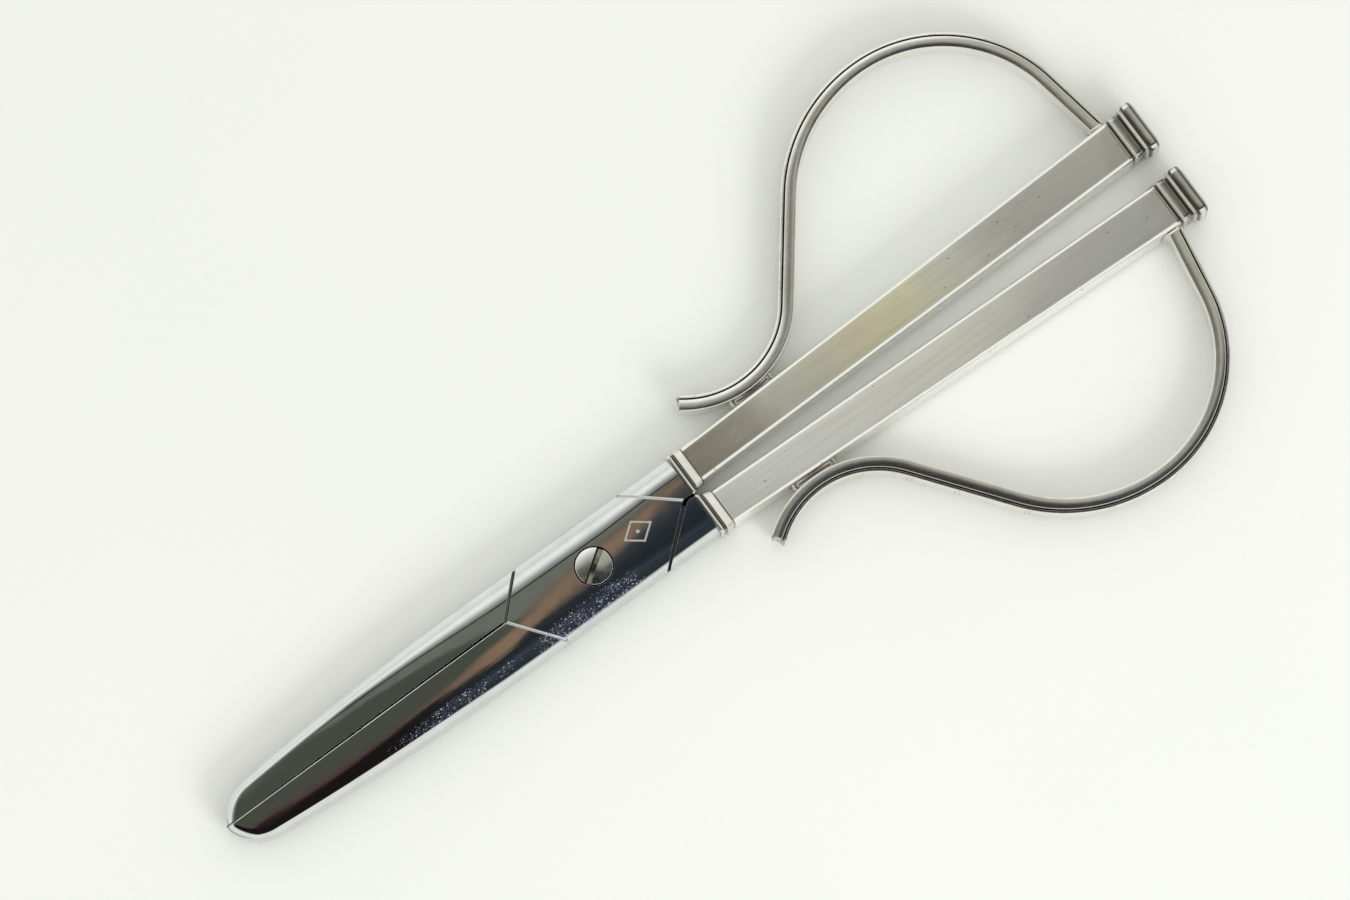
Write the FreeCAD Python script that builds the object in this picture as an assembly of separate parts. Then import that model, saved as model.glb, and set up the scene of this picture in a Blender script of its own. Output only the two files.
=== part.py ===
"""Silver-handled scissors: two half-lapped steel blades on a slotted pivot screw,
hollow tapered handles with collars and end caps, and S-curved finger bows.

Millimetres. The origin is on the pivot axis in the plane the scissors lie on.
+X points from the pivot to the handles, +Z is up, and the closed scissors lie along X.
The two members are the same shape: the rear one is the front one turned over about
the long axis through mid-thickness.
"""
import FreeCAD, Part
import math
import os

V = FreeCAD.Vector

# ---- driving dimensions --------------------------------------------------------
MID_Z = 2.9                  # mid-thickness, the plane between the two laps
REACH = 15.0                 # how far cutting solids run past the part

TIP_X = -65.6                # blade tips
NOSE_X = -60.2               # where the rounded nose starts
SIDE_X = -20.0               # where the blade's sides start to narrow
HALF_WIDTH = 6.7             # half width of the closed blades at the lap
NOSE_HALF_WIDTH = 4.85
NOSE_MID = (-63.75, 3.15)    # point halfway round the nose
LAND_HALF_WIDTH = 2.4        # flat land along the middle of both faces
LAP_LAND = 2.9               # half thickness on the land at the lap
LAP_EDGE = 1.9               # half thickness at the side wall at the lap
TIP_LAND = 1.6               # the same two at the tip
TIP_EDGE = 1.1
EDGE_LAP = 0.9               # how far a cutting edge passes the middle at the lap
EDGE_LAP_TIP = 0.35          # and at the tip

LAP_FRONT_X = -15.3          # left corner of the hexagonal lap
LAP_BACK_X = 16.5            # right corner of the lap
SHOULDER_FRONT_X = -9.5      # where the lap's slanted sides reach the outline
SHOULDER_BACK_X = 8.7
FACE_GAP = 0.04              # running gap between the two laps
EDGE_GAP = 0.12              # gap seen along the cutting line
SHOULDER_GAP = 0.46          # gap at the closing shoulders
SHANK_GAP = 0.5              # gap between the two shanks
SCORE_WIDTH = 0.5            # scored line that completes the hexagon on each face
SCORE_DEPTH = 0.14
FACE_SPARE = 1.04            # faces are drawn this much wider than the outline
ROLL_MID = 0.55              # place of the rolled shoulder's middle point along its run

SHANK_END_X = 17.9           # face of the steel against the collar
TANG_END_X = 62.0
TANG_ROOT = 0.5              # how far the tang runs into the shank
TANG_WIDTH = (4.0, 2.0)      # at its root and at its end
TANG_HEIGHT = (3.0, 1.6)

SCREW_HEAD_R = 2.85
SCREW_HEAD_DEPTH = 1.3
SCREW_DOME = 0.30            # the head's crown above its rim
SCREW_SHANK_R = 1.7
SCREW_CLEARANCE = 0.05       # radial, round the shank
SCREW_HEAD_CLEARANCE = 0.10  # radial and axial, round the head
SCREW_SLOT_WIDTH = 0.95
SCREW_SLOT_DEPTH = 0.75
SCREW_SLOT_ANGLE = 35.0      # slot direction from +X, degrees
SCREW_END_INSET = 0.25       # screw end below the rear face

HANDLE_X = (20.3, 99.4)      # sheet handle, front end and rear end
HANDLE_INNER_Y = (0.9, 2.3)  # side towards the other handle, at both ends
HANDLE_OUTER_Y = (6.85, 9.4)
HANDLE_HALF_HEIGHT = (2.35, 2.75)
SHEET = 0.55
HANDLE_EDGE_R = 0.75         # rolled edge of the shells
INNER_EDGE_R = 0.2           # the same edge inside

COLLAR_X = 17.9
COLLAR_FLANGE = 0.9          # thin flange against the steel
COLLAR_PROUD = 0.32          # flange and band stand this far outside the handle
COLLAR_GROOVE = 0.15         # between the flange and the band
FLANGE_R = (0.7, 0.2)        # corner and rim radius of the flange
BAND_R = (0.8, 0.6)

CAP_BEAD_X = (100.4, 101.0)  # first thin bead
CAP_NECK_X = 101.7
CAP_END_X = 104.5
CAP_NECK_PROUD = -0.05
CAP_BEAD_PROUD = 0.15
CAP_ROLL_PROUD = 0.55
CAP_HALF_HEIGHT = 2.9        # the roll reaches the plane the scissors lie on
CAP_PLUG = 1.6               # plug inside the hollow handle
CAP_BEAD_R = (0.7, 0.25)     # corner and rim radius
CAP_ROLL_R = (1.3, 1.2)
PLAIN_RIM_R = 0.05
CAP_LAP = 0.3                # how far the cap's steps run into each other

BOW_LOW = (33.8, 8.8)        # lowest point of the bow's centre line
BOW_TOP = (75.2, 37.45)      # highest point
BOW_SCROLL_R = 15.5          # arc from the free end to the low point
BOW_SCROLL_X = 23.6          # free end
BOW_RISE_R = 24.0            # arc up to the top
BOW_FALL_R = 21.5            # arc down from the top
BOW_RISE_ANGLE = 52.5        # slope of the straight stretch, degrees
BOW_LEG_ANGLE = 10.0         # lean of the leg at the end cap, degrees
BOW_WEB = 1.7                # strip width
BOW_HEIGHT = 4.2
BOW_RIB_PROUD = 0.7          # rib along the outer side
BOW_RIB_HEIGHT = 3.7

FOOT_X = (30.4, 38.0)        # solder seat under the bow's low stretch
FOOT_POST = 0.7
FOOT_HEIGHT = 2.2
POST_HEIGHT = 3.4
FILLET_SIZE = 1.2            # solder fillets at the bow's leg
FILLET_HEIGHT = 3.6
FILLET_HOLLOW = 0.25         # place of the fillet's hollow, as a share of its size
FILLET_ROOT = 0.5            # depth below the handle's side before trimming


# ---- small helpers -------------------------------------------------------------
def flat(points):
    """Face in the XY plane through the points."""
    corners = [V(x, y, 0) for x, y in points]
    return Part.Face(Part.makePolygon(corners + corners[:1]))


def prism(face, z_low, z_high):
    """The face, drawn at z = 0, as a block between two heights."""
    lifted = face.translated(V(0, 0, z_low))
    return lifted.extrude(V(0, 0, z_high - z_low))


def box(x, y, z):
    """Box from three (low, high) pairs."""
    return Part.makeBox(x[1] - x[0], y[1] - y[0], z[1] - z[0], V(x[0], y[0], z[0]))


def arc(start, middle, end):
    return Part.Arc(V(*start, 0), V(*middle, 0), V(*end, 0)).toShape()


def line(start, end):
    return Part.makeLine(V(*start, 0), V(*end, 0))


def turned_over(shape):
    """The same piece on the other member."""
    return shape.rotated(V(0, 0, MID_Z), V(1, 0, 0), 180)


def between(pair, share):
    return pair[0] + (pair[1] - pair[0]) * share


def single(shape):
    """The one solid in a boolean's result."""
    solids = shape.removeSplitter().Solids
    if len(solids) != 1:
        raise ValueError("expected one solid, got %d" % len(solids))
    return solids[0]


# ---- blades --------------------------------------------------------------------
def blade_outline():
    """Plan of both closed blades and shanks as one face."""
    side_mid_x = (NOSE_X + SIDE_X) / 2
    run = SIDE_X - NOSE_X
    drop = HALF_WIDTH - NOSE_HALF_WIDTH
    side_r = (run ** 2 + drop ** 2) / (2 * drop)
    side_mid_y = HALF_WIDTH - side_r + math.sqrt(side_r ** 2 - (side_mid_x - SIDE_X) ** 2)
    edges = []
    for s in (1, -1):
        edges.append(line((SHANK_END_X, s * HALF_WIDTH), (SIDE_X, s * HALF_WIDTH)))
        edges.append(arc((SIDE_X, s * HALF_WIDTH), (side_mid_x, s * side_mid_y),
                         (NOSE_X, s * NOSE_HALF_WIDTH)))
        edges.append(arc((NOSE_X, s * NOSE_HALF_WIDTH), (NOSE_MID[0], s * NOSE_MID[1]),
                         (TIP_X, s * EDGE_LAP_TIP)))
    edges.append(line((TIP_X, EDGE_LAP_TIP), (TIP_X, -EDGE_LAP_TIP)))
    edges.append(line((SHANK_END_X, HALF_WIDTH), (SHANK_END_X, -HALF_WIDTH)))
    return Part.Face(Part.Wire(Part.__sortEdges__(edges)))


def face_section(x, half_width, land, edge):
    """Closed section across the blades: a flat land with a rolled shoulder each side."""
    drop = land - edge
    run = half_width - LAND_HALF_WIDTH * half_width / HALF_WIDTH
    start = half_width - run
    roll_r = (run ** 2 + drop ** 2) / (2 * drop)
    mid_y = start + run * ROLL_MID
    mid_z = land - roll_r + math.sqrt(roll_r ** 2 - (mid_y - start) ** 2)
    edges = []
    for up in (1, -1):
        edges.append(Part.makeLine(V(x, -start, MID_Z + up * land), V(x, start, MID_Z + up * land)))
        for side in (1, -1):
            rolled = Part.Arc(V(x, side * start, MID_Z + up * land),
                              V(x, side * mid_y, MID_Z + up * mid_z),
                              V(x, side * half_width, MID_Z + up * edge))
            edges.append(rolled.toShape())
    for side in (1, -1):
        edges.append(Part.makeLine(V(x, side * half_width, MID_Z - edge),
                                   V(x, side * half_width, MID_Z + edge)))
    return Part.Wire(Part.__sortEdges__(edges))


def both_faces():
    """Body bounded by the two faces of the closed blades, wider than the outline."""
    lap = face_section(LAP_FRONT_X, HALF_WIDTH * FACE_SPARE, LAP_LAND, LAP_EDGE)
    tip = face_section(TIP_X - 1, NOSE_HALF_WIDTH * FACE_SPARE, TIP_LAND, TIP_EDGE)
    tapered = Part.makeLoft([lap, tip], True, True)
    level = Part.Face(lap).extrude(V(SHANK_END_X - LAP_FRONT_X, 0, 0))
    return tapered.fuse(level)


def lap_corner(x, side):
    """Point on the outline where a slanted side of the lap ends."""
    return (x, side * HALF_WIDTH)


def beyond(start, end):
    """Point on the line from start through end, well outside the outline."""
    share = REACH / abs(end[1] - start[1])
    return (start[0] + (end[0] - start[0]) * share, start[1] + (end[1] - start[1]) * share)


def front_territory(grow):
    """Plan of what belongs to the front member in the upper layer.

    grow is how many gap halves its border moves out (+1) or in (-1).
    """
    shift = grow * SHOULDER_GAP / 2
    cut = grow * EDGE_GAP / 2
    lap_front = (LAP_FRONT_X - shift, EDGE_LAP + cut)
    lap_back = (LAP_BACK_X + shift, -grow * SHANK_GAP / 2)
    front_out = beyond(lap_front, (SHOULDER_FRONT_X - shift * math.sqrt(2), HALF_WIDTH))
    back_out = beyond(lap_back, (SHOULDER_BACK_X + shift * math.sqrt(2), -HALF_WIDTH))
    tip = (TIP_X - REACH, EDGE_LAP_TIP + cut)
    return flat([tip, lap_front, front_out, (SHANK_END_X + REACH, front_out[1]),
                 (SHANK_END_X + REACH, lap_back[1]), lap_back, back_out,
                 (TIP_X - REACH, back_out[1])])


def score_cutter(start, end):
    """Triangular bar that scores a line on the upper face."""
    half = SCORE_WIDTH / 2
    run = V(end[0] - start[0], end[1] - start[1], 0)
    side = V(-run.y, run.x, 0).normalize() * half
    top = MID_Z + LAP_LAND
    foot = V(start[0], start[1], top - SCORE_DEPTH)
    above = V(start[0], start[1], top + SCORE_DEPTH)
    profile = Part.makePolygon([foot, above + side * 2, above - side * 2, foot])
    return Part.Face(profile).extrude(run)


def tang():
    """Tapered tang of the front member, along the middle of its handle."""
    sections = []
    for end, x in enumerate((SHANK_END_X - TANG_ROOT, TANG_END_X)):
        share = (x - HANDLE_X[0]) / (HANDLE_X[1] - HANDLE_X[0])
        y = (between(HANDLE_INNER_Y, share) + between(HANDLE_OUTER_Y, share)) / 2
        w = TANG_WIDTH[end] / 2
        h = TANG_HEIGHT[end] / 2
        sections.append(Part.makePolygon([V(x, y - w, MID_Z - h), V(x, y + w, MID_Z - h),
                                          V(x, y + w, MID_Z + h), V(x, y - w, MID_Z + h),
                                          V(x, y - w, MID_Z - h)]))
    return Part.makeLoft(sections, True, True)


def front_member():
    """Front blade, half lap, shank and tang, before the screw holes."""
    body = both_faces().common(prism(blade_outline(), -REACH, REACH))
    split = MID_Z + FACE_GAP / 2
    upper = prism(front_territory(-1), split, REACH)
    rear_upper = prism(front_territory(1), split - FACE_GAP, REACH)
    rear_space = turned_over(rear_upper)
    lower = box((TIP_X - REACH, REACH * 3), (-REACH, REACH), (-REACH, split)).cut(rear_space)
    steel = body.common(upper.fuse(lower))
    lap_front = (LAP_FRONT_X, EDGE_LAP)
    lap_back = (LAP_BACK_X, 0)
    score = score_cutter(lap_front, beyond(lap_front, lap_corner(SHOULDER_FRONT_X, -1)))
    score = score.fuse(score_cutter(lap_back, beyond(lap_back, lap_corner(SHOULDER_BACK_X, 1))))
    return single(steel.cut(score).fuse(tang()))


def blades():
    """Both members, with the screw's clearance hole and threaded hole."""
    member = front_member()
    top = MID_Z + LAP_LAND
    hole = Part.makeCylinder(SCREW_SHANK_R + SCREW_CLEARANCE, 2 * REACH, V(0, 0, -REACH))
    seat = Part.makeCylinder(SCREW_HEAD_R + SCREW_HEAD_CLEARANCE, REACH,
                             V(0, 0, top - SCREW_HEAD_DEPTH - SCREW_HEAD_CLEARANCE))
    front = single(member.cut(hole.fuse(seat)))
    rear = single(turned_over(member).cut(hole))
    return front, rear


def pivot_screw():
    """Cheese head with a low crown and a slot, on a plain pivot shank."""
    rim_z = MID_Z + LAP_LAND
    crown_r = (SCREW_HEAD_R ** 2 + SCREW_DOME ** 2) / (2 * SCREW_DOME)
    crown = Part.makeSphere(crown_r, V(0, 0, rim_z + SCREW_DOME - crown_r))
    head = Part.makeCylinder(SCREW_HEAD_R, SCREW_HEAD_DEPTH + SCREW_DOME,
                             V(0, 0, rim_z - SCREW_HEAD_DEPTH)).common(crown)
    shank = Part.makeCylinder(SCREW_SHANK_R, rim_z - SCREW_HEAD_DEPTH / 2 - SCREW_END_INSET,
                              V(0, 0, SCREW_END_INSET))
    slot_z = rim_z + SCREW_DOME - SCREW_SLOT_DEPTH
    slot = box((-REACH, REACH), (-SCREW_SLOT_WIDTH / 2, SCREW_SLOT_WIDTH / 2), (slot_z, REACH))
    slot.rotate(V(0, 0, 0), V(0, 0, 1), SCREW_SLOT_ANGLE)
    return single(head.fuse(shank).cut(slot))


# ---- handle --------------------------------------------------------------------
def handle_rectangle(x, proud, half_height=None):
    """Low and high corner of the handle's section at x, grown by proud."""
    share = (x - HANDLE_X[0]) / (HANDLE_X[1] - HANDLE_X[0])
    half = between(HANDLE_HALF_HEIGHT, share) if half_height is None else half_height
    return ((between(HANDLE_INNER_Y, share) - proud, MID_Z - half - proud),
            (between(HANDLE_OUTER_Y, share) + proud, MID_Z + half + proud))


def handle_section(x, proud, radius):
    """Rounded rectangle across the handle as a wire."""
    (y0, z0), (y1, z1) = handle_rectangle(x, proud)
    edges = []
    corners = [(y1 - radius, z1 - radius, 0), (y0 + radius, z1 - radius, 90),
               (y0 + radius, z0 + radius, 180), (y1 - radius, z0 + radius, 270)]
    ends = []
    for y, z, angle in corners:
        spots = []
        for turn in (0, 45, 90):
            a = math.radians(angle + turn)
            spots.append(V(x, y + radius * math.cos(a), z + radius * math.sin(a)))
        edges.append(Part.Arc(*spots).toShape())
        ends.append((spots[0], spots[2]))
    for index in range(4):
        edges.append(Part.makeLine(ends[index][1], ends[(index + 1) % 4][0]))
    return Part.Wire(Part.__sortEdges__(edges))


def handle_bar(proud, radius, x_range):
    sections = [handle_section(x, proud, radius) for x in x_range]
    return Part.makeLoft(sections, True, True)


def handle_shells():
    """The stamped upper and lower halves of the hollow handle."""
    outer = handle_bar(0, HANDLE_EDGE_R, HANDLE_X)
    inner = handle_bar(-SHEET, INNER_EDGE_R, (HANDLE_X[0] - 1, HANDLE_X[1] + 1))
    tube = outer.cut(inner)
    reach = ((0, HANDLE_X[1] + REACH), (-REACH, REACH * 2))
    upper = single(tube.common(box(*reach, (MID_Z, REACH))))
    lower = single(tube.common(box(*reach, (-REACH, MID_Z))))
    return upper, lower


def tang_cement(tang_solid):
    """Compound that fills the hollow handle around the tang."""
    inner = handle_bar(-SHEET, INNER_EDGE_R, (HANDLE_X[0], HANDLE_X[1] - CAP_PLUG))
    return single(inner.cut(tang_solid))


def ring(x, proud, corner_r, edge_r, half_height=None):
    """Block across the handle with rounded ends, from (low, high) x."""
    (y0, z0), (y1, z1) = handle_rectangle((x[0] + x[1]) / 2, proud, half_height)
    block = box(x, (y0, y1), (z0, z1))
    long_edges = [e for e in block.Edges if abs(e.tangentAt(e.FirstParameter).x) > 0.9]
    block = block.makeFillet(corner_r, long_edges)
    rims = [e for e in block.Edges if e.BoundBox.XLength < 0.01]
    return block.makeFillet(edge_r, rims)


def collar(tang_solid):
    """Thin flange and a rounded band where the steel enters the handle."""
    flange_end = COLLAR_X + COLLAR_FLANGE
    flange = ring((COLLAR_X, flange_end), COLLAR_PROUD, *FLANGE_R)
    neck = ring((COLLAR_X + COLLAR_FLANGE / 2, HANDLE_X[0]), 0, HANDLE_EDGE_R, PLAIN_RIM_R)
    band = ring((flange_end + COLLAR_GROOVE, HANDLE_X[0]), COLLAR_PROUD, *BAND_R)
    return single(flange.fuse(neck).fuse(band).cut(tang_solid))


def end_cap():
    """Stepped moulding: plain foot, thin bead, hollow neck and a wide end roll."""
    foot = ring((HANDLE_X[1], CAP_BEAD_X[0] + CAP_LAP), 0, HANDLE_EDGE_R, PLAIN_RIM_R)
    bead = ring(CAP_BEAD_X, CAP_BEAD_PROUD, *CAP_BEAD_R, CAP_HALF_HEIGHT - CAP_BEAD_PROUD)
    neck = ring((CAP_BEAD_X[1] - CAP_LAP, CAP_NECK_X + CAP_LAP), CAP_NECK_PROUD, HANDLE_EDGE_R,
                PLAIN_RIM_R)
    roll = ring((CAP_NECK_X, CAP_END_X), CAP_ROLL_PROUD, *CAP_ROLL_R,
                CAP_HALF_HEIGHT - CAP_ROLL_PROUD)
    plug = handle_bar(-SHEET, INNER_EDGE_R, (HANDLE_X[1] - CAP_PLUG, HANDLE_X[1] + CAP_LAP))
    return single(foot.fuse([bead, neck, roll, plug]))


# ---- finger bow ----------------------------------------------------------------
def bow_stations():
    """Arcs and lines of the bow's centre line as (kind, points), free end first."""
    rise = math.radians(BOW_RISE_ANGLE)
    rise_centre = (BOW_TOP[0], BOW_TOP[1] - BOW_RISE_R)
    rise_start = (rise_centre[0] - BOW_RISE_R * math.sin(rise),
                  rise_centre[1] + BOW_RISE_R * math.cos(rise))
    # radius that joins the low point to the straight stretch with both ends tangent
    gap = (rise_start[0] - BOW_LOW[0], rise_start[1] - BOW_LOW[1])
    low_r = ((gap[0] * math.tan(rise) - gap[1])
             / (math.sin(rise) * math.tan(rise) - (1 - math.cos(rise))))
    lean = math.radians(BOW_LEG_ANGLE)
    fall_centre = (BOW_TOP[0], BOW_TOP[1] - BOW_FALL_R)
    leg_start = (fall_centre[0] + BOW_FALL_R * math.cos(lean),
                 fall_centre[1] + BOW_FALL_R * math.sin(lean))
    leg_drop = leg_start[1] - leg_end_y()
    leg_end = (leg_start[0] + leg_drop * math.tan(lean), leg_end_y())
    scroll_centre = (BOW_LOW[0], BOW_LOW[1] + BOW_SCROLL_R)
    scroll_angle = math.asin((BOW_LOW[0] - BOW_SCROLL_X) / BOW_SCROLL_R)

    def on_circle(centre, radius, angle):
        return (centre[0] + radius * math.cos(angle), centre[1] + radius * math.sin(angle))

    down = -math.pi / 2
    low_centre = (BOW_LOW[0], BOW_LOW[1] + low_r)
    return [
        ("arc", scroll_centre, BOW_SCROLL_R, down - scroll_angle, down),
        ("arc", low_centre, low_r, down, down + rise),
        ("line", on_circle(low_centre, low_r, down + rise), rise_start),
        ("arc", rise_centre, BOW_RISE_R, math.pi / 2 + rise, math.pi / 2),
        ("arc", fall_centre, BOW_FALL_R, math.pi / 2, lean),
        ("line", leg_start, leg_end),
    ]


def leg_end_y():
    """Height where the bow's leg meets the handle's outer side."""
    return HANDLE_OUTER_Y[1]


def bow_edges(offset):
    """Edges of the line at a distance to the left of the bow's centre line."""
    edges = []
    for station in bow_stations():
        if station[0] == "line":
            (x0, y0), (x1, y1) = station[1], station[2]
            length = math.hypot(x1 - x0, y1 - y0)
            nx = -(y1 - y0) / length * offset
            ny = (x1 - x0) / length * offset
            edges.append(((x0 + nx, y0 + ny), None, (x1 + nx, y1 + ny)))
        else:
            centre, radius, a0, a1 = station[1:]
            # turning left puts the offset line on the inside of the arc
            r = radius - offset if a1 > a0 else radius + offset
            spots = []
            for angle in (a0, (a0 + a1) / 2, a1):
                spots.append((centre[0] + r * math.cos(angle), centre[1] + r * math.sin(angle)))
            edges.append(tuple(spots))
    return edges


def bow_strip(low, high):
    """Plan of the strip between two offsets as a face."""
    shapes = []
    ends = []
    for offset in (low, high):
        run = bow_edges(offset)
        ends.append((run[0][0], run[-1][2]))
        for start, middle, end in run:
            shapes.append(line(start, end) if middle is None else arc(start, middle, end))
    shapes.append(line(ends[0][0], ends[1][0]))
    shapes.append(line(ends[0][1], ends[1][1]))
    return Part.Face(Part.Wire(Part.__sortEdges__(shapes)))


def handle_side_cutter():
    """Everything on the inner side of the handle's outer side face."""
    slope = (HANDLE_OUTER_Y[1] - HANDLE_OUTER_Y[0]) / (HANDLE_X[1] - HANDLE_X[0])
    far_x = HANDLE_X[1] + REACH
    far_y = HANDLE_OUTER_Y[1] + slope * REACH
    return prism(flat([(0, HANDLE_OUTER_Y[0] - slope * HANDLE_X[0]), (far_x, far_y),
                       (far_x, -REACH), (0, -REACH)]), -REACH, REACH)


def finger_bow():
    """Web with rounded top and bottom edges, and a rib along its outer side."""
    half = BOW_WEB / 2
    web = prism(bow_strip(-half, half), MID_Z - BOW_HEIGHT / 2, MID_Z + BOW_HEIGHT / 2)
    rib = prism(bow_strip(0, half + BOW_RIB_PROUD),
                MID_Z - BOW_RIB_HEIGHT / 2, MID_Z + BOW_RIB_HEIGHT / 2)
    return single(web.fuse(rib).cut(handle_side_cutter()))


def bow_foot(bow):
    """Solder seat between the handle and the bow's low stretch, with two posts."""
    plan = [(FOOT_X[0], 0), (FOOT_X[1], 0), (FOOT_X[1], BOW_LOW[1]), (FOOT_X[0], BOW_LOW[1])]
    seat = prism(flat(plan), MID_Z - FOOT_HEIGHT / 2, MID_Z + FOOT_HEIGHT / 2)
    for x in (FOOT_X[0], FOOT_X[1] - FOOT_POST):
        post = box((x, x + FOOT_POST), (0, BOW_LOW[1]),
                   (MID_Z - POST_HEIGHT / 2, MID_Z + POST_HEIGHT / 2))
        seat = seat.fuse(post)
    return single(seat.cut(handle_side_cutter()).cut(bow))


def bow_fillets(bow, cap):
    """Solder fillets each side of the bow's leg, clear of the end cap."""
    foot = bow_edges(0)[-1][2]
    half = BOW_WEB / 2
    lean = math.tan(math.radians(BOW_LEG_ANGLE))
    pieces = []
    for side in (-1, 1):
        near = foot[0] + side * half * 0.9
        far = foot[0] + side * (half + FILLET_SIZE)
        start = (far, foot[1] - FILLET_ROOT)
        shoulder = (far, foot[1] - FILLET_ROOT / 2)
        hollow = (near + (far - near) * FILLET_HOLLOW, foot[1] + FILLET_SIZE * FILLET_HOLLOW)
        peak = (near - lean * FILLET_SIZE, foot[1] + FILLET_SIZE)
        edges = [line((near, start[1]), start), line(start, shoulder),
                 arc(shoulder, hollow, peak), line(peak, (near, start[1]))]
        face = Part.Face(Part.Wire(Part.__sortEdges__(edges)))
        pieces.append(prism(face, MID_Z - FILLET_HEIGHT / 2, MID_Z + FILLET_HEIGHT / 2))
    solids = []
    for piece in pieces:
        trimmed = piece.cut(handle_side_cutter()).cut(bow).cut(cap)
        solids.append(max(trimmed.Solids, key=lambda s: s.Volume))
    return Part.makeCompound(solids)


# ---- the assembly --------------------------------------------------------------
def build():
    """Every node of the scissors by name."""
    front, rear = blades()
    nodes = {"front_blade": front, "rear_blade": rear, "pivot_screw": pivot_screw()}
    steel = tang()
    upper, lower = handle_shells()
    bow = finger_bow()
    cap = end_cap()
    handle = {
        "handle_collar": collar(steel),
        "handle_upper_shell": upper,
        "handle_lower_shell": lower,
        "tang_cement": tang_cement(steel),
        "handle_end_cap": cap,
        "finger_bow": bow,
        "bow_foot": bow_foot(bow),
        "bow_fillets": bow_fillets(bow, cap),
    }
    # turning a handle over swaps which of its shells faces up
    swapped = {"handle_upper_shell": "handle_lower_shell",
               "handle_lower_shell": "handle_upper_shell"}
    for name, shape in handle.items():
        nodes["front_" + name] = shape
        nodes["rear_" + swapped.get(name, name)] = turned_over(shape)
    return nodes


os.makedirs("parts", exist_ok=True)
for node_name, node_shape in build().items():
    node_shape.exportStep("parts/%s.step" % node_name)
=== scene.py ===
"""Looks for the silver-handled scissors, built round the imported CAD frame.

Lengths in this script are millimetres in the row frame until a mesh is made, when they
become metres. Places come from the CAD nodes' boxes; the rest are named values.
The front member is built once and turned over about the long axis for the rear one.
"""
import functools
import math

import bmesh
import bpy
import numpy as np
from mathutils import Matrix, Vector
from mathutils.bvhtree import BVHTree
from mathutils.interpolate import poly_3d_calc

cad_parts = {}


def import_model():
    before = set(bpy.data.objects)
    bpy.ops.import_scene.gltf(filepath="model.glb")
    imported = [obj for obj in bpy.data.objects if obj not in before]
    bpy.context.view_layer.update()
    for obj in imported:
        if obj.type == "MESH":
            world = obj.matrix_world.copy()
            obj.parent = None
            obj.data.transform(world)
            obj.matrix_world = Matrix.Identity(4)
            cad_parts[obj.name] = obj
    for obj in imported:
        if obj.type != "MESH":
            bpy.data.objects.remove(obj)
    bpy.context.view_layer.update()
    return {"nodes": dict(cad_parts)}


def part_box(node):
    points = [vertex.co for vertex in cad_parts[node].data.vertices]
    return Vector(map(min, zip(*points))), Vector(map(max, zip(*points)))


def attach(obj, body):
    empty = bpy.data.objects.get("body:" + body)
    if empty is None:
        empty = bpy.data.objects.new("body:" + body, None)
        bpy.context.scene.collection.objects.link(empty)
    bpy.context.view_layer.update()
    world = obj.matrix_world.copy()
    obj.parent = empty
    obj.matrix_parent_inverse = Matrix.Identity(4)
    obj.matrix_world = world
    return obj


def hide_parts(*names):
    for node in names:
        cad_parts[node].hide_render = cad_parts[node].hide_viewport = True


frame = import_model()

MM = 0.001


# ---- places and sizes from the frame -------------------------------------------
def node_box(node):
    """Lowest and highest corner of a CAD node, in millimetres."""
    low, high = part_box(node)
    return np.array(low) / MM, np.array(high) / MM


def end_span(node, x):
    """Lowest and highest (y, z) of a CAD node's vertices at one x."""
    points = np.array([v.co for v in frame["nodes"][node].data.vertices]) / MM
    near = points[np.abs(points[:, 0] - x) < 0.05]
    return near[:, 1:].min(0), near[:, 1:].max(0)


blade_low, blade_high = node_box("front_blade")
collar_low, collar_high = node_box("front_handle_collar")
shell_low, shell_high = node_box("front_handle_upper_shell")
cap_low, cap_high = node_box("front_handle_end_cap")
screw_low, screw_high = node_box("pivot_screw")
bow_low, bow_high = node_box("front_finger_bow")
foot_low, foot_high = node_box("front_bow_foot")

MID_Z = (blade_low[2] + blade_high[2]) / 2
TIP_X = blade_low[0]
HALF_WIDTH = blade_high[1]
SHANK_END_X = collar_low[0]
HANDLE_X = (shell_low[0], shell_high[0])

# ---- blades
SIDE_X = -20.0
NOSE_X = -60.2
NOSE_HALF_WIDTH = 4.85
NOSE_MID = (-63.75, 3.15)
SPINE_END_X = -61.0          # the nose's rows fan out from here
EDGE_LAP = 0.9               # how far a cutting edge passes the middle at the lap
EDGE_LAP_TIP = 0.35
LAP_FRONT_X = -15.3          # corners of the hexagonal lap
LAP_BACK_X = 16.5
SHOULDER_FRONT_X = -9.5
SHOULDER_BACK_X = 8.7
FACE_GAP = 0.04
EDGE_GAP = (0.10, 0.34)     # between the cutting edges, at the tip and at the lap
SHOULDER_GAP = 0.46
SHANK_GAP = 0.55
LAND = (2.9, 1.62)           # half thickness on the land, at the lap and at the tip
TAPER_X = (-13.0, -38.0)     # the land starts to fall towards the tip, and falls evenly from here
CROWN = 0.01                 # slope the face gains per millimetre from the middle
ROLL_X = (-65.6, -60.0, -40.0, -30.0, -20.0, -12.0, 4.0, 14.0)
ROLL_RUN = (1.45, 1.65, 1.85, 2.45, 3.15, 3.5, 3.6, 3.15)   # width of the rolled shoulder
ROLL_DROP = (0.5, 0.6, 0.6, 0.58, 0.57, 0.6, 0.62, 0.6)
RIM_R = 0.3
SCORE_WIDTH = 0.42
SCORE_DEPTH = 0.13
REACH = 15.0
WALL_DEPTH = 0.3
MARK_PLACE = (8.2, 0.4)
MARK_SIZE = (2.3, 1.75)      # half diagonals of the engraved rhombus
MARK_LINE = 0.3
MARK_DEPTH = 0.05
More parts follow.
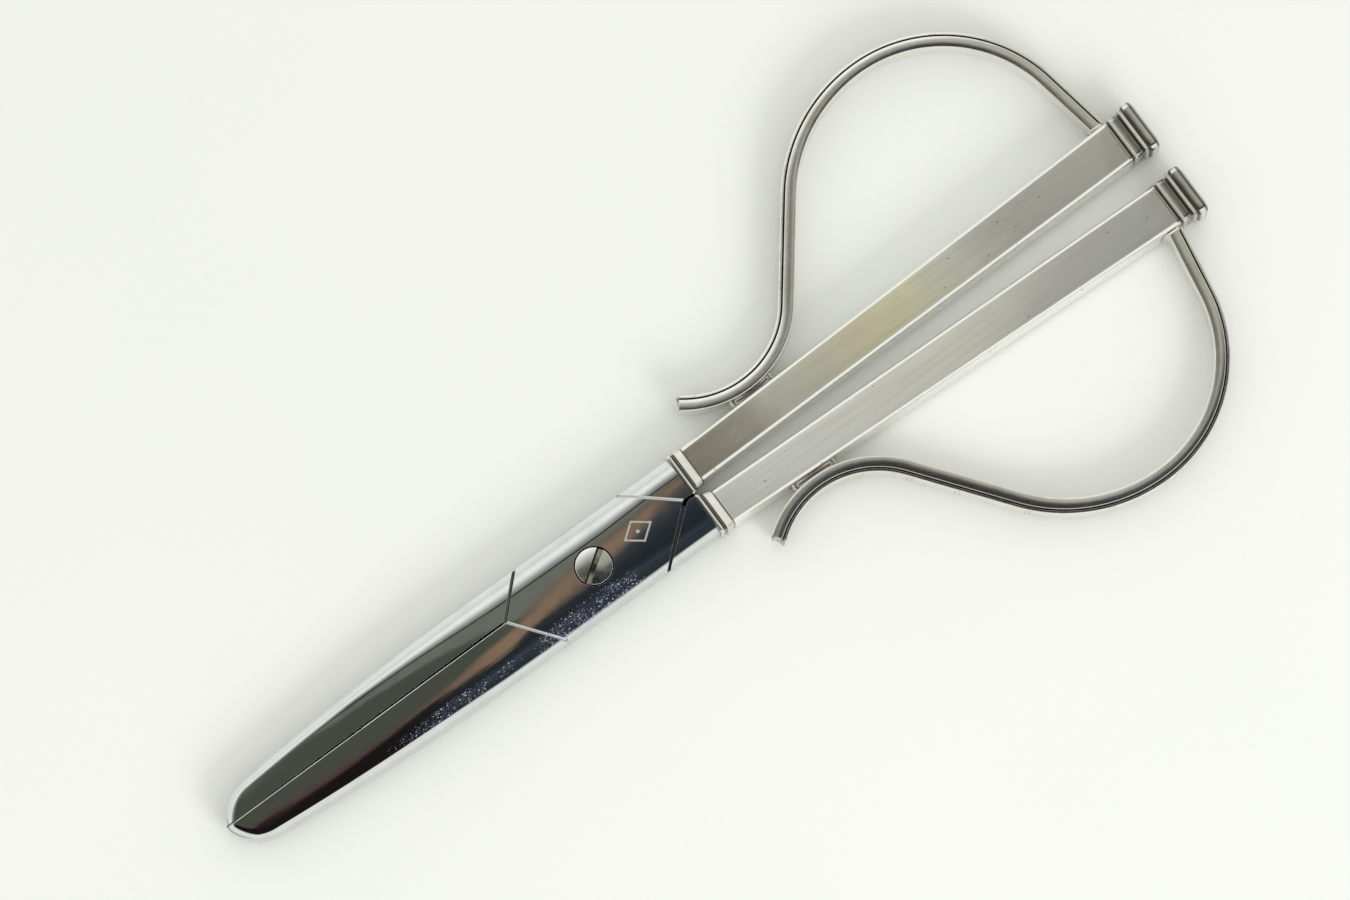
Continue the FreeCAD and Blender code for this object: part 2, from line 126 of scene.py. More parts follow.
EDGE_CHAMFER = (0.07, 0.035) # width and depth taken off the cutting edge's corner
CUT_CLEAR = 1.0              # how far the mark's cutters stand out of the face
OUTLINE_BACK_X = 60.0        # the outline's sides run on to here, inside the handles

# ---- screw
SLOT_TURN = math.radians(35.0)
SLOT_HALF_WIDTH = 0.48
SLOT_DEPTH = 0.75
SCREW_RIM_GAP = 0.09         # between the head's rim and the CAD head's
SEAT_GAP = 0.12              # between the CAD head and the wall of its seat
HEAD_DEPTH = 1.3
SEAT_DEPTH = 1.4
SCREW_SHANK_R = 1.7
SCREW_HOLE_R = 1.75

# ---- finger bow
BOW_LOW = (33.8, 8.8)
BOW_TOP_X = 75.2
BOW_SCROLL_R = 15.5
BOW_SCROLL_X = 23.6
BOW_RISE_R = 24.0
BOW_FALL_R = 21.5
BOW_RISE_ANGLE = math.radians(52.5)
BOW_LEG_ANGLE = math.radians(10.0)
BOW_WEB = 1.7
BOW_RIB_PROUD = 0.7
BOW_TOP = (BOW_TOP_X, bow_high[1] - BOW_WEB / 2 - BOW_RIB_PROUD)
BOW_HALF_HEIGHT = (bow_high[2] - bow_low[2]) / 2


# ---- mesh helpers --------------------------------------------------------------
def polar(angle):
    """Unit plan vector at an angle."""
    return np.array([math.cos(angle), math.sin(angle)])


def circle(radius, z, count=96):
    """Level loop round the pivot."""
    return [(radius * math.cos(a), radius * math.sin(a), z)
            for a in np.linspace(0, 2 * math.pi, count, endpoint=False)]


def turned_over(points):
    """Points of the same piece on the other member."""
    flipped = np.array(points, float)
    flipped[:, 1] *= -1
    flipped[:, 2] = 2 * MID_Z - flipped[:, 2]
    return flipped


def linked(name, data):
    """New object in the scene."""
    thing = bpy.data.objects.new(name, data)
    bpy.context.scene.collection.objects.link(thing)
    return thing


def move_points(mesh, move):
    """Passes the mesh's points, as rows of x, y, z, through move."""
    co = np.zeros(len(mesh.vertices) * 3)
    mesh.vertices.foreach_get("co", co)
    mesh.vertices.foreach_set("co", move(co.reshape(-1, 3)).ravel())


def raw_object(name, points, faces):
    """Object in millimetres, linked, with outward faces."""
    mesh = bpy.data.meshes.new(name)
    mesh.from_pydata([tuple(p) for p in points], [], faces)
    mesh.validate()
    work = bmesh.new()
    work.from_mesh(mesh)
    bmesh.ops.remove_doubles(work, verts=work.verts, dist=1e-5)
    bmesh.ops.recalc_face_normals(work, faces=work.faces)
    work.to_mesh(mesh)
    work.free()
    return linked(name, mesh)


def loft(name, loops, ring=False):
    """Skin over closed loops with equal counts of points; ring joins the last to the first."""
    loops = [np.array(loop, float) for loop in loops]
    count = len(loops[0])
    rows = len(loops)
    points = np.concatenate(loops)
    faces = []
    for i in range(rows if ring else rows - 1):
        a = i * count
        b = ((i + 1) % rows) * count
        for j in range(count):
            k = (j + 1) % count
            faces.append((a + j, a + k, b + k, b + j))
    if not ring:
        faces.append(tuple(range(count)))
        faces.append(tuple((rows - 1) * count + j for j in range(count)))
    thing = raw_object(name, points, faces)
    mesh = thing.data
    # streak coordinates: along the loft, and round the loop
    along = np.zeros(rows)
    for i in range(1, rows):
        along[i] = along[i - 1] + np.linalg.norm(loops[i].mean(0) - loops[i - 1].mean(0))
    middle = loops[rows // 2]
    step = np.linalg.norm(middle - np.roll(middle, 1, axis=0), axis=1)
    step[0] = 0
    around = np.cumsum(step)
    lookup = {}
    for index, point in enumerate(points):
        key = tuple(np.round(point, 4))
        lookup.setdefault(key, (along[index // count], around[index % count]))
    layer = mesh.uv_layers.new(name="streak")
    for polygon in mesh.polygons:
        spots = [lookup.get(tuple(np.round(np.array(mesh.vertices[mesh.loops[l].vertex_index].co), 4)),
                            (0.0, 0.0)) for l in polygon.loop_indices]
        wraps = max(s[1] for s in spots) - min(s[1] for s in spots) > around[-1] * 0.6
        for l, (u, v) in zip(polygon.loop_indices, spots):
            if wraps and v < around[-1] * 0.3:
                v += around[-1]
            layer.data[l].uv = (u, v)
    return thing


def finished(thing, body, slot, material, *nodes, smooth_angle=32):
    """Turns a millimetre object into a piece of the assembly that stands for CAD nodes."""
    mesh = thing.data
    move_points(mesh, lambda co: co * MM)
    if smooth_angle is not None:
        mesh.polygons.foreach_set("use_smooth", [True] * len(mesh.polygons))
        mesh.set_sharp_from_angle(angle=math.radians(smooth_angle))
    mesh.update()
    mesh.materials.clear()
    mesh.materials.append(material)
    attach(thing, body)
    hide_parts(*nodes)
    return thing


def flipped_copy(thing, name):
    """Copy of a finished-shape millimetre object turned over for the rear member."""
    mesh = thing.data.copy()
    mesh.name = name
    move_points(mesh, turned_over)
    mesh.update()
    return linked(name, mesh)


def boolean(thing, cutter):
    """Takes the cutter out of the thing and removes it."""
    modifier = thing.modifiers.new("cut", "BOOLEAN")
    modifier.operation = "DIFFERENCE"
    modifier.solver = "EXACT"
    modifier.object = cutter
    graph = bpy.context.evaluated_depsgraph_get()
    result = bpy.data.meshes.new_from_object(thing.evaluated_get(graph))
    thing.modifiers.clear()
    thing.data = result
    bpy.data.objects.remove(cutter)


def prism(points, z_low, z_high):
    """Upright prism over a plan polygon."""
    count = len(points)
    corners = [(x, y, z_low) for x, y in points] + [(x, y, z_high) for x, y in points]
    faces = [tuple(range(count)), tuple(range(count, 2 * count))]
    for i in range(count):
        k = (i + 1) % count
        faces.append((i, k, count + k, count + i))
    return raw_object("cutter", corners, faces)


def cylinder(radius, z_low, z_high, count=96):
    """Upright cylinder on the pivot's axis."""
    return loft("cutter", [circle(radius, z_low, count), circle(radius, z_high, count)])


def circle_through(a, b, c):
    """Centre and radius of the circle through three plan points."""
    (ax, ay), (bx, by), (cx, cy) = a, b, c
    d = 2 * (ax * (by - cy) + bx * (cy - ay) + cx * (ay - by))
    sa, sb, sc = ax * ax + ay * ay, bx * bx + by * by, cx * cx + cy * cy
    ux = (sa * (by - cy) + sb * (cy - ay) + sc * (ay - by)) / d
    uy = (sa * (cx - bx) + sb * (ax - cx) + sc * (bx - ax)) / d
    return np.array([ux, uy]), math.hypot(ax - ux, ay - uy)


# ---- blades --------------------------------------------------------------------
def side_outline():
    """Upper half of the closed blades' outline, from the collar to the tip."""
    points = [(x, HALF_WIDTH) for x in np.arange(SHANK_END_X, SIDE_X, -0.6)]
    run = SIDE_X - NOSE_X
    drop = HALF_WIDTH - NOSE_HALF_WIDTH
    side_r = (run ** 2 + drop ** 2) / (2 * drop)
    for x in np.linspace(SIDE_X, NOSE_X, 70)[:-1]:
        points.append((x, HALF_WIDTH - side_r + math.sqrt(side_r ** 2 - (x - SIDE_X) ** 2)))
    tip = (TIP_X, EDGE_LAP_TIP)
    centre, nose_r = circle_through((NOSE_X, NOSE_HALF_WIDTH), NOSE_MID, tip)
    start = math.atan2(NOSE_HALF_WIDTH - centre[1], NOSE_X - centre[0])
    end = math.atan2(tip[1] - centre[1], tip[0] - centre[0])
    for angle in np.linspace(start, end, 46):
        points.append(tuple(centre + nose_r * polar(angle)))
    points.append((TIP_X, 0.12))
    points.append((TIP_X, 0.0))
    return np.array(points)


def land_height(x):
    """Half thickness on the middle line: level at the lap, easing into a straight taper."""
    start, even = TAPER_X
    ease = (start - even) / 2
    slope = (LAND[0] - LAND[1]) / (start - TIP_X - ease)
    s = np.clip(start - np.asarray(x, float), 0, None)
    return LAND[0] - slope * np.where(s < 2 * ease, s * s / (4 * ease), s - ease)


def land_slope(x):
    """Rise of the middle line per millimetre towards the handles."""
    return (land_height(x + 0.05) - land_height(x - 0.05)) / 0.1


def face_height(x, y, d):
    """Height above mid-thickness at a plan point that lies d inside the outline."""
    run = np.interp(x, ROLL_X, ROLL_RUN)
    drop = np.interp(x, ROLL_X, ROLL_DROP)
    roll_r = (run ** 2 + drop ** 2) / (2 * drop)
    face = land_height(x) - CROWN * y ** 2 / 2

    def rolled(at):
        inside = np.clip(run - at, 0, None)
        return roll_r - np.sqrt(roll_r ** 2 - inside ** 2)

    slope = np.arctan((run - RIM_R) / np.sqrt(roll_r ** 2 - (run - RIM_R) ** 2))
    rho = RIM_R / (1 - np.sin(slope))
    turn = np.arcsin(np.clip(1 - d / rho, 0, 1))
    rim = rolled(RIM_R) + rho * (np.cos(slope) - np.cos(turn))
    return face - np.where(d < RIM_R, rim, rolled(d))


def closed_blades():
    """Both closed blades as one smooth body, before it is divided between the members."""
    upper = side_outline()
    tangent = np.gradient(upper, axis=0)
    outward = np.stack([-tangent[:, 1], tangent[:, 0]], 1)
    outward /= np.linalg.norm(outward, axis=1)[:, None]
    outward[outward[:, 1] < 0] *= -1
    outward[-1] = (-1, 0)
    outline = np.concatenate([upper, upper[-2::-1] * (1, -1)])
    outward = np.concatenate([outward, outward[-2::-1] * (1, -1)])
    rim_rows = RIM_R * (1 - np.sin(np.linspace(math.pi / 2, 0, 7)[:-1]))
    columns = []
    for p, n in zip(outline, outward):
        spine = np.array([max(p[0], SPINE_END_X), 0.0])
        length = np.linalg.norm(spine - p)
        inward = (spine - p) / length
        lean = max(0.35, abs(float(inward @ n)))
        run = min(float(np.interp(p[0], ROLL_X, ROLL_RUN)), length * lean * 0.8)
        steps = np.concatenate([rim_rows, np.linspace(RIM_R, run, 15), [run * 1.04],
                                np.linspace(run * 1.1, length * lean, 8)])
        columns.append([p + inward * d / lean for d in steps])
    plan = np.array(columns)
    depth = plan.shape[1]
    flat = plan.reshape(-1, 2)
    reach = np.full(len(flat), 1e9)
    closed = np.concatenate([outline, [[OUTLINE_BACK_X, -HALF_WIDTH]]])
    starts = np.concatenate([[[OUTLINE_BACK_X, HALF_WIDTH]], outline])
    for a, b in zip(starts, closed):
        edge = b - a
        share = np.clip(((flat - a) @ edge) / (edge @ edge), 0, 1)
        reach = np.minimum(reach, np.linalg.norm(flat - a - share[:, None] * edge, axis=1))
    heights = face_height(flat[:, 0], flat[:, 1], reach).reshape(plan.shape[:2])
    points = []
    for column, height in zip(plan, heights):
        points += [(q[0], q[1], MID_Z + h) for q, h in zip(column, height)]
        points += [(q[0], q[1], MID_Z - h) for q, h in zip(column, height)]
    faces = []
    stride = 2 * depth
    for c in range(len(outline) - 1):
        a = c * stride
        b = a + stride
        for i in range(depth - 1):
            faces.append((a + i, b + i, b + i + 1, a + i + 1))
            faces.append((a + depth + i, a + depth + i + 1, b + depth + i + 1, b + depth + i))
        faces.append((a, a + depth, b + depth, b))
    last = (len(outline) - 1) * stride
    # flat end against the collar: down one side of the section and up the other
    end_loop = [i for i in range(depth)] + [last + i for i in range(depth - 2, -1, -1)]
    end_loop += [last + depth + i for i in range(depth)] + [depth + i for i in range(depth - 2, -1, -1)]
    faces.append(tuple(end_loop))
    return raw_object("blades_body", points, faces)


def beyond(start, end):
    """Point on the line from start through end, well outside the blades."""
    share = REACH / abs(end[1] - start[1])
    return (start[0] + (end[0] - start[0]) * share, start[1] + (end[1] - start[1]) * share)


def territory_corners(grow):
    """Lap corners of the front member in the upper layer, moved by grow gap halves."""
    shift = grow * SHOULDER_GAP / 2
    lap_front = (LAP_FRONT_X - shift, EDGE_LAP + grow * EDGE_GAP[1] / 2)
    lap_back = (LAP_BACK_X + shift, -grow * SHANK_GAP / 2)
    front_out = beyond(lap_front, (SHOULDER_FRONT_X - shift * math.sqrt(2), HALF_WIDTH))
    back_out = beyond(lap_back, (SHOULDER_BACK_X + shift * math.sqrt(2), -HALF_WIDTH))
    tip = (TIP_X - REACH, EDGE_LAP_TIP + grow * EDGE_GAP[0] / 2)
    return tip, lap_front, front_out, lap_back, back_out


def score_bar(start, end):
    """Triangular bar that scores a line on the upper face, following its roll."""
    run = np.array([end[0] - start[0], end[1] - start[1]])
    side = np.array([-run[1], run[0]]) * (SCORE_WIDTH / 2 / np.linalg.norm(run))
    loops = []
    for share in np.linspace(0, 1, 60):
        spot = np.array(start) + run * share
        inside = max(0.0, HALF_WIDTH - abs(spot[1]))
        z = MID_Z + float(face_height(spot[0], spot[1], inside))
        loops.append([(spot[0], spot[1], z - SCORE_DEPTH),
                      (*(spot + side * 2), z + SCORE_DEPTH), (*(spot - side * 2), z + SCORE_DEPTH)])
    return loft("cutter", loops)


def rhombus(grow):
    """Corners of the mark's rhombus, moved outwards by grow."""
    x, y = MARK_PLACE
    half_x, half_y = MARK_SIZE
    far_x = half_x + grow * math.hypot(half_x, half_y) / half_y
    far_y = half_y + grow * math.hypot(half_x, half_y) / half_x
    return [(x - far_x, y), (x, y - far_y), (x + far_x, y), (x, y + far_y)]


def engrave_mark(body):
    """A plain engraved rhombus with a dot in it."""
    def face(point):
        return MID_Z + float(face_height(point[0], point[1], HALF_WIDTH - abs(point[1])))

    outer, inner = rhombus(MARK_LINE / 2), rhombus(-MARK_LINE / 2)
    loops = []
    for a, b in zip(outer, inner):
        low = min(face(a), face(b)) - MARK_DEPTH
        high = low + CUT_CLEAR
        loops.append([(*a, low), (*b, low), (*b, high), (*a, high)])
    boolean(body, loft("cutter", loops, ring=True))
    dot = cylinder(MARK_LINE, face(MARK_PLACE) - MARK_DEPTH, face(MARK_PLACE) + CUT_CLEAR, 24)
    for vertex in dot.data.vertices:
        vertex.co.x += MARK_PLACE[0]
        vertex.co.y += MARK_PLACE[1]
    boolean(body, dot)


def edge_bar():
    """Bar that takes the corner off the cutting edge."""
    tip_y = EDGE_LAP_TIP - EDGE_GAP[0] / 2
    lap_y = EDGE_LAP - EDGE_GAP[1] / 2
    width, depth = EDGE_CHAMFER
    loops = []
    for x in np.linspace(TIP_X - 1.0, LAP_FRONT_X, 80):
        y = tip_y + (lap_y - tip_y) * (x - TIP_X) / (LAP_FRONT_X - TIP_X)
        z = MID_Z + float(face_height(x, y, max(0.4, x - TIP_X)))
        loops.append([(x, y + 0.05, z - depth * 1.3), (x, y - width, z), (x, y - width, z + 0.3),
                      (x, y + 0.05, z + 0.3)])
    return loft("cutter", loops)


def front_member_mesh():
    """Front blade with half lap, shoulders, shank and scored lines."""
    body = closed_blades()
    smooth_reference = smooth_tree(body)
    split = MID_Z + FACE_GAP / 2
    far = REACH * 2
    # upper layer: what the rear member takes
    tip, lap_front, front_out, lap_back, back_out = territory_corners(-1)
    boolean(body, prism([tip, lap_front, front_out, (tip[0], front_out[1])], split, far))
    boolean(body, prism([lap_back, back_out, (SHANK_END_X + REACH, back_out[1]),
                         (SHANK_END_X + REACH, lap_back[1])], split, far))
    # lower layer: the rear member's lap and edge, turned over
    tip, lap_front, front_out, lap_back, back_out = territory_corners(1)
    rear = [tip, lap_front, front_out, (SHANK_END_X + REACH, front_out[1]),
            (SHANK_END_X + REACH, lap_back[1]), lap_back, back_out, (tip[0], back_out[1])]
    boolean(body, prism([(x, -y) for x, y in rear], -far, split))
    boolean(body, score_bar((LAP_FRONT_X, EDGE_LAP),
                            beyond((LAP_FRONT_X, EDGE_LAP), (SHOULDER_FRONT_X, -HALF_WIDTH))))
    boolean(body, score_bar((LAP_BACK_X, 0.0),
                            beyond((LAP_BACK_X, 0.0), (SHOULDER_BACK_X, HALF_WIDTH))))
    boolean(body, edge_bar())
    return body, smooth_reference


def smooth_tree(thing):
    """Faces, vertex normals and search tree of a smooth body, kept for its cut pieces."""
    mesh = thing.data
    mesh.polygons.foreach_set("use_smooth", [True] * len(mesh.polygons))
    work = bmesh.new()
    work.from_mesh(mesh)
    work.normal_update()
    # the flat end doesn't take part in the smooth normals
    verts = [v.co.copy() for v in work.verts]
    normals = []
    for v in work.verts:
        total = Vector()
        for face in v.link_faces:
            if len(face.verts) <= 4:
                total += face.normal * face.calc_area()
        normals.append(total.normalized() if total.length > 0 else v.normal.copy())
    faces = [[v.index for v in f.verts] for f in work.faces]
    work.free()
    return BVHTree.FromPolygons(verts, faces), verts, normals, faces


def shade_from(thing, reference, max_angle=9.0):
    """Gives what is left of a smooth body its old normals, and flat normals to the cuts.

    The face value "joint_wall" is one on upright deep cuts, "frosted" on the engraved mark.
    """
    tree, verts, normals, faces = reference
    mesh = thing.data
    mesh.polygons.foreach_set("use_smooth", [True] * len(mesh.polygons))
    custom = [None] * len(mesh.loops)
    limit = math.cos(math.radians(max_angle))
    walls = np.zeros(len(mesh.polygons))
    frosted = np.zeros(len(mesh.polygons))
    for polygon in mesh.polygons:
        _, _, hit, distance = tree.find_nearest(polygon.center)
        kept = hit is not None and distance < 0.02
        if distance > WALL_DEPTH:
            walls[polygon.index] = 1.0 if abs(polygon.normal.z) < 0.5 else 0.0
        elif not kept or distance > MARK_DEPTH * 0.5:
            away = (polygon.center.xy - Vector(MARK_PLACE)).length
            frosted[polygon.index] = 1.0 if away < MARK_SIZE[0] + 0.3 else 0.0
        for l in polygon.loop_indices:
            normal = polygon.normal
            if kept:
                co = mesh.vertices[mesh.loops[l].vertex_index].co
                spot, _, index, _ = tree.find_nearest(co)
                corners = faces[index]
                if len(corners) <= 4:
                    weights = poly_3d_calc([verts[c] for c in corners], spot)
                    smooth = Vector()
                    for c, w in zip(corners, weights):
                        smooth += normals[c] * w
                    smooth.normalize()
                    if smooth.dot(polygon.normal) > limit:
                        normal = smooth
            custom[l] = tuple(normal)
    mesh.normals_split_custom_set(custom)
    for name, values in (("joint_wall", walls), ("frosted", frosted)):
        mesh.attributes.new(name, "FLOAT", "FACE").data.foreach_set("value", values)


# ---- handle --------------------------------------------------------------------
inner_front, outer_front = end_span("front_handle_upper_shell", HANDLE_X[0])
inner_rear, outer_rear = end_span("front_handle_upper_shell", HANDLE_X[1])


def handle_box(x):
    """Centre y, half width and half height of the hollow handle at x."""
    share = (x - HANDLE_X[0]) / (HANDLE_X[1] - HANDLE_X[0])
    inner = inner_front[0] + (inner_rear[0] - inner_front[0]) * share
    outer = outer_front[0] + (outer_rear[0] - outer_front[0]) * share
    top = outer_front[1] + (outer_rear[1] - outer_front[1]) * share
    return (inner + outer) / 2, (outer - inner) / 2, top - MID_Z


def rounded_loop(x, centre_y, half_y, half_z, radius):
    """Rounded rectangle across the handle."""
    corner_points, side_points = 8, 4
    arcs = []
    for index, (sy, sz) in enumerate(((1, 1), (-1, 1), (-1, -1), (1, -1))):
        middle = np.array([centre_y + sy * (half_y - radius), MID_Z + sz * (half_z - radius)])
        start = index * math.pi / 2
        arcs.append([middle + radius * polar(start + turn)
                     for turn in np.linspace(0, math.pi / 2, corner_points)])
    points = []
    for arc, following in zip(arcs, arcs[1:] + arcs[:1]):
        points += arc + [arc[-1] + (following[0] - arc[-1]) * t
                         for t in np.linspace(0, 1, side_points + 2)[1:-1]]
    return np.array([(x, *point) for point in points])


# The caps' mouldings stand out fully at the sides, and by this share above and below, to lie flat
FLAT_RELIEF = 0.3


def profile_loops(profile):
    """Loops across the handle for a moulding given as (x, proud, corner radius)."""
    loops = []
    for x, proud, radius in profile:
        cy, hy, hz = handle_box(x)
        half_y = max(0.02, hy + proud)
        half_z = max(0.02, hz + min(proud, proud * FLAT_RELIEF))
        radius = max(0.01, min(radius, half_y * 0.98, half_z * 0.98))
        loops.append(rounded_loop(x, cy, half_y, half_z, radius))
    return loops


def shell_half():
    """Upper stamped half of the hollow handle: outer skin, seam faces and inner skin."""
    sheet, outer_r, fold, crown = 0.55, 0.78, 0.2, 0.03
    seam, lip, lip_width = MID_Z + 0.01, MID_Z + 0.07, 0.05
    loops = []
    for x in np.linspace(HANDLE_X[0], HANDLE_X[1], 27):
        cy, hy, hz = handle_box(x)
        flat, top = hy - outer_r, MID_Z + hz

        def roll(side, start):
            middle = np.array([cy + side * flat, top - outer_r])
            return [middle + outer_r * polar(a) for a in np.linspace(start, start + math.pi / 2, 9)]

        inner_y, inner_z = hy - sheet, top - sheet
        section = [
            (cy + hy - lip_width, seam), (cy + hy, lip), *roll(1, 0),
            *[(cy + flat * (1 - 2 * t), top + crown * math.sin(math.pi * t))
              for t in (0.17, 0.33, 0.5, 0.67, 0.83)],
            *roll(-1, math.pi / 2), (cy - hy, lip), (cy - hy + lip_width, seam),
            (cy - inner_y, seam), (cy - inner_y, inner_z - fold), (cy - inner_y + fold, inner_z),
            (cy + inner_y - fold, inner_z), (cy + inner_y, inner_z - fold), (cy + inner_y, seam),
        ]
        loops.append([(x, y, z) for y, z in section])
    return loft("shell", loops)


# Collar, from the steel to the handle: (x from its front, how proud above and outside,
# how proud inside, corner radius)
COLLAR_PROFILE = (
    (0.0, 0.02, 0.72, 0.58), (0.05, 0.22, 0.86, 0.6), (0.14, 0.33, 0.92, 0.62), (0.26, 0.36, 0.92, 0.64),
    (0.38, 0.345, 0.9, 0.65), (0.52, 0.31, 0.86, 0.65), (0.66, 0.25, 0.8, 0.64), (0.74, 0.14, 0.72, 0.62),
    (0.82, 0.02, 0.6, 0.6), (0.94, -0.03, 0.5, 0.58), (1.05, 0.02, 0.46, 0.6), (1.12, 0.2, 0.47, 0.66),
    (1.17, 0.36, 0.47, 0.68), (1.22, 0.40, 0.45, 0.7), (1.32, 0.375, 0.42, 0.7), (1.5, 0.315, 0.38, 0.7),
    (1.7, 0.25, 0.33, 0.7), (1.9, 0.185, 0.28, 0.7), (2.1, 0.12, 0.23, 0.7), (2.26, 0.07, 0.19, 0.7),
    (2.36, 0.045, 0.14, 0.68), (2.41, 0.03, 0.10, 0.68), (2.42, -0.05, 0.0, 0.68),
)


def collar():
    """A thin flange against the steel, a groove, and a band that slopes down to the handle."""
    front = collar_low[0] + 0.02
    loops = []
    inner = [(x, -0.9, -0.5, 0.5) for x in (0.0, HANDLE_X[0] - front)]
    rows = [inner[0], *COLLAR_PROFILE, (HANDLE_X[0] - front, -0.08, -0.05, 0.66), inner[1]]
    for x, proud, inside, radius in rows:
        cy, hy, hz = handle_box(front + x)
        low, high = cy - hy - inside, cy + hy + proud * 0.85
        loops.append(rounded_loop(front + x, (low + high) / 2, (high - low) / 2, hz + proud, radius))
    return loft("collar", loops, ring=True)


# Moulding of the cap before its end roll: (x from its front, how proud)
CAP_STEPS = (
    (-0.07, 0.0), (-0.06, 0.02), (0.1, 0.025), (0.3, 0.03), (0.36, 0.01), (0.42, -0.1), (0.54, -0.13),
    (0.66, -0.1), (0.74, 0.02), (0.80, 0.13), (0.86, 0.19), (0.92, 0.20), (0.98, 0.17), (1.06, 0.08),
    (1.14, 0.02), (1.3, 0.015), (1.6, 0.02), (1.9, 0.01), (2.16, -0.01), (2.26, -0.08), (2.38, -0.2),
    (2.50, -0.2), (2.6, -0.06), (2.68, 0.16), (2.76, 0.34), (2.83, 0.40), (2.89, 0.40), (2.96, 0.33),
    (3.04, 0.2), (3.12, 0.14), (3.22, 0.12), (3.3, 0.14),
)
# Wide roll at the handle's end: (x back from the end, how proud)
END_ROLL = (
    (1.76, 0.16), (1.73, 0.32), (1.66, 0.43), (1.55, 0.50), (1.38, 0.535), (1.16, 0.55), (0.9, 0.552),
    (0.66, 0.54), (0.47, 0.51), (0.33, 0.46), (0.22, 0.38), (0.13, 0.26), (0.06, 0.1), (0.01, -0.15),
)


def end_cap():
    """Stepped moulding: flush foot, thin bead, flat neck, groove, ridge and a wide end roll."""
    x0 = HANDLE_X[1]
    rows = [(x0 - 1.5, -0.6, 0.3), (x0 + 0.01, -0.6, 0.3), (x0 + 0.01, -0.02, 0.7)]
    rows += [(x0 + x, proud, 0.66) for x, proud in CAP_STEPS]
    end = cap_high[0]
    for x, proud in END_ROLL:
        rows.append((end - x, proud, 0.9))
    for share in (0.6, 0.3, 0.08):
        rows.append((end - 0.02 * share, (share - 1.0) * handle_box(end)[1], 0.8 * share))
    return loft("cap", profile_loops(rows))


# ---- finger bow ----------------------------------------------------------------
def bow_line():
    """Points and left-hand normals of the bow's centre line, free end first."""
    rise_centre = np.array([BOW_TOP[0], BOW_TOP[1] - BOW_RISE_R])
    rise_start = rise_centre + BOW_RISE_R * np.array([-math.sin(BOW_RISE_ANGLE),
                                                      math.cos(BOW_RISE_ANGLE)])
    gap = rise_start - np.array(BOW_LOW)
    tangent = math.tan(BOW_RISE_ANGLE)
    low_r = ((gap[0] * tangent - gap[1])
             / (math.sin(BOW_RISE_ANGLE) * tangent - (1 - math.cos(BOW_RISE_ANGLE))))
    fall_centre = np.array([BOW_TOP[0], BOW_TOP[1] - BOW_FALL_R])
    leg_start = fall_centre + BOW_FALL_R * polar(BOW_LEG_ANGLE)
    leg_drop = leg_start[1] - outer_rear[0] + 0.15
    leg_end = leg_start + leg_drop * np.array([math.tan(BOW_LEG_ANGLE), -1.0])
    scroll_angle = math.asin((BOW_LOW[0] - BOW_SCROLL_X) / BOW_SCROLL_R)
    down = -math.pi / 2
    points = []

    def add_arc(centre, radius, start, end, spacing):
        count = max(3, int(abs(end - start) * radius / spacing))
        for angle in np.linspace(start, end, count + 1)[(1 if points else 0):]:
            points.append(np.array(centre) + radius * polar(angle))

    def add_line(end, spacing):
        start = points[-1]
        count = max(2, int(np.linalg.norm(end - start) / spacing))
        for share in np.linspace(0, 1, count + 1)[1:]:
            points.append(start + (end - start) * share)

    add_arc((BOW_LOW[0], BOW_LOW[1] + BOW_SCROLL_R), BOW_SCROLL_R, down - scroll_angle, down, 0.35)
    add_arc((BOW_LOW[0], BOW_LOW[1] + low_r), low_r, down, down + BOW_RISE_ANGLE, 0.5)
    add_line(rise_start, 0.7)
    add_arc(rise_centre, BOW_RISE_R, math.pi / 2 + BOW_RISE_ANGLE, math.pi / 2, 0.6)
    add_arc(fall_centre, BOW_FALL_R, math.pi / 2, BOW_LEG_ANGLE, 0.6)
    add_line(leg_end, 0.6)
    line = np.array(points)
    direction = np.gradient(line, axis=0)
    direction /= np.linalg.norm(direction, axis=1)[:, None]
    normal = np.stack([-direction[:, 1], direction[:, 0]], 1)
    return line, normal


BOW_CROWN_R = 3.1            # crown across the web's top
BOW_RIB_TOP = 1.85           # height of the rib's top above mid-thickness
# Groove beside the web, then the rib outwards: (share of how proud it is, drop below its top)
RIB_PROFILE = (
    (0.0, 0.42), (0.16, 0.45), (0.26, 0.15), (0.31, 0.03), (0.36, 0.0), (0.48, 0.012), (0.60, 0.026),
    (0.72, 0.042), (0.82, 0.06), (0.90, 0.10), (0.96, 0.2), (0.99, 0.42), (1.0, 0.9),
)
# How the web's top changes along the bow: (x, how much of the crown, lean outwards in degrees)
BOW_TOPS = ((23.0, 0.8, 4.0), (34.0, 0.9, 2.0), (42.0, 0.75, 3.0), (47.0, 0.6, 3.0), (56.0, 0.65, 3.0),
            (62.0, 0.9, 1.0), (85.0, 1.0, 0.0), (94.0, 0.7, 0.0), (98.0, 0.35, 0.0))


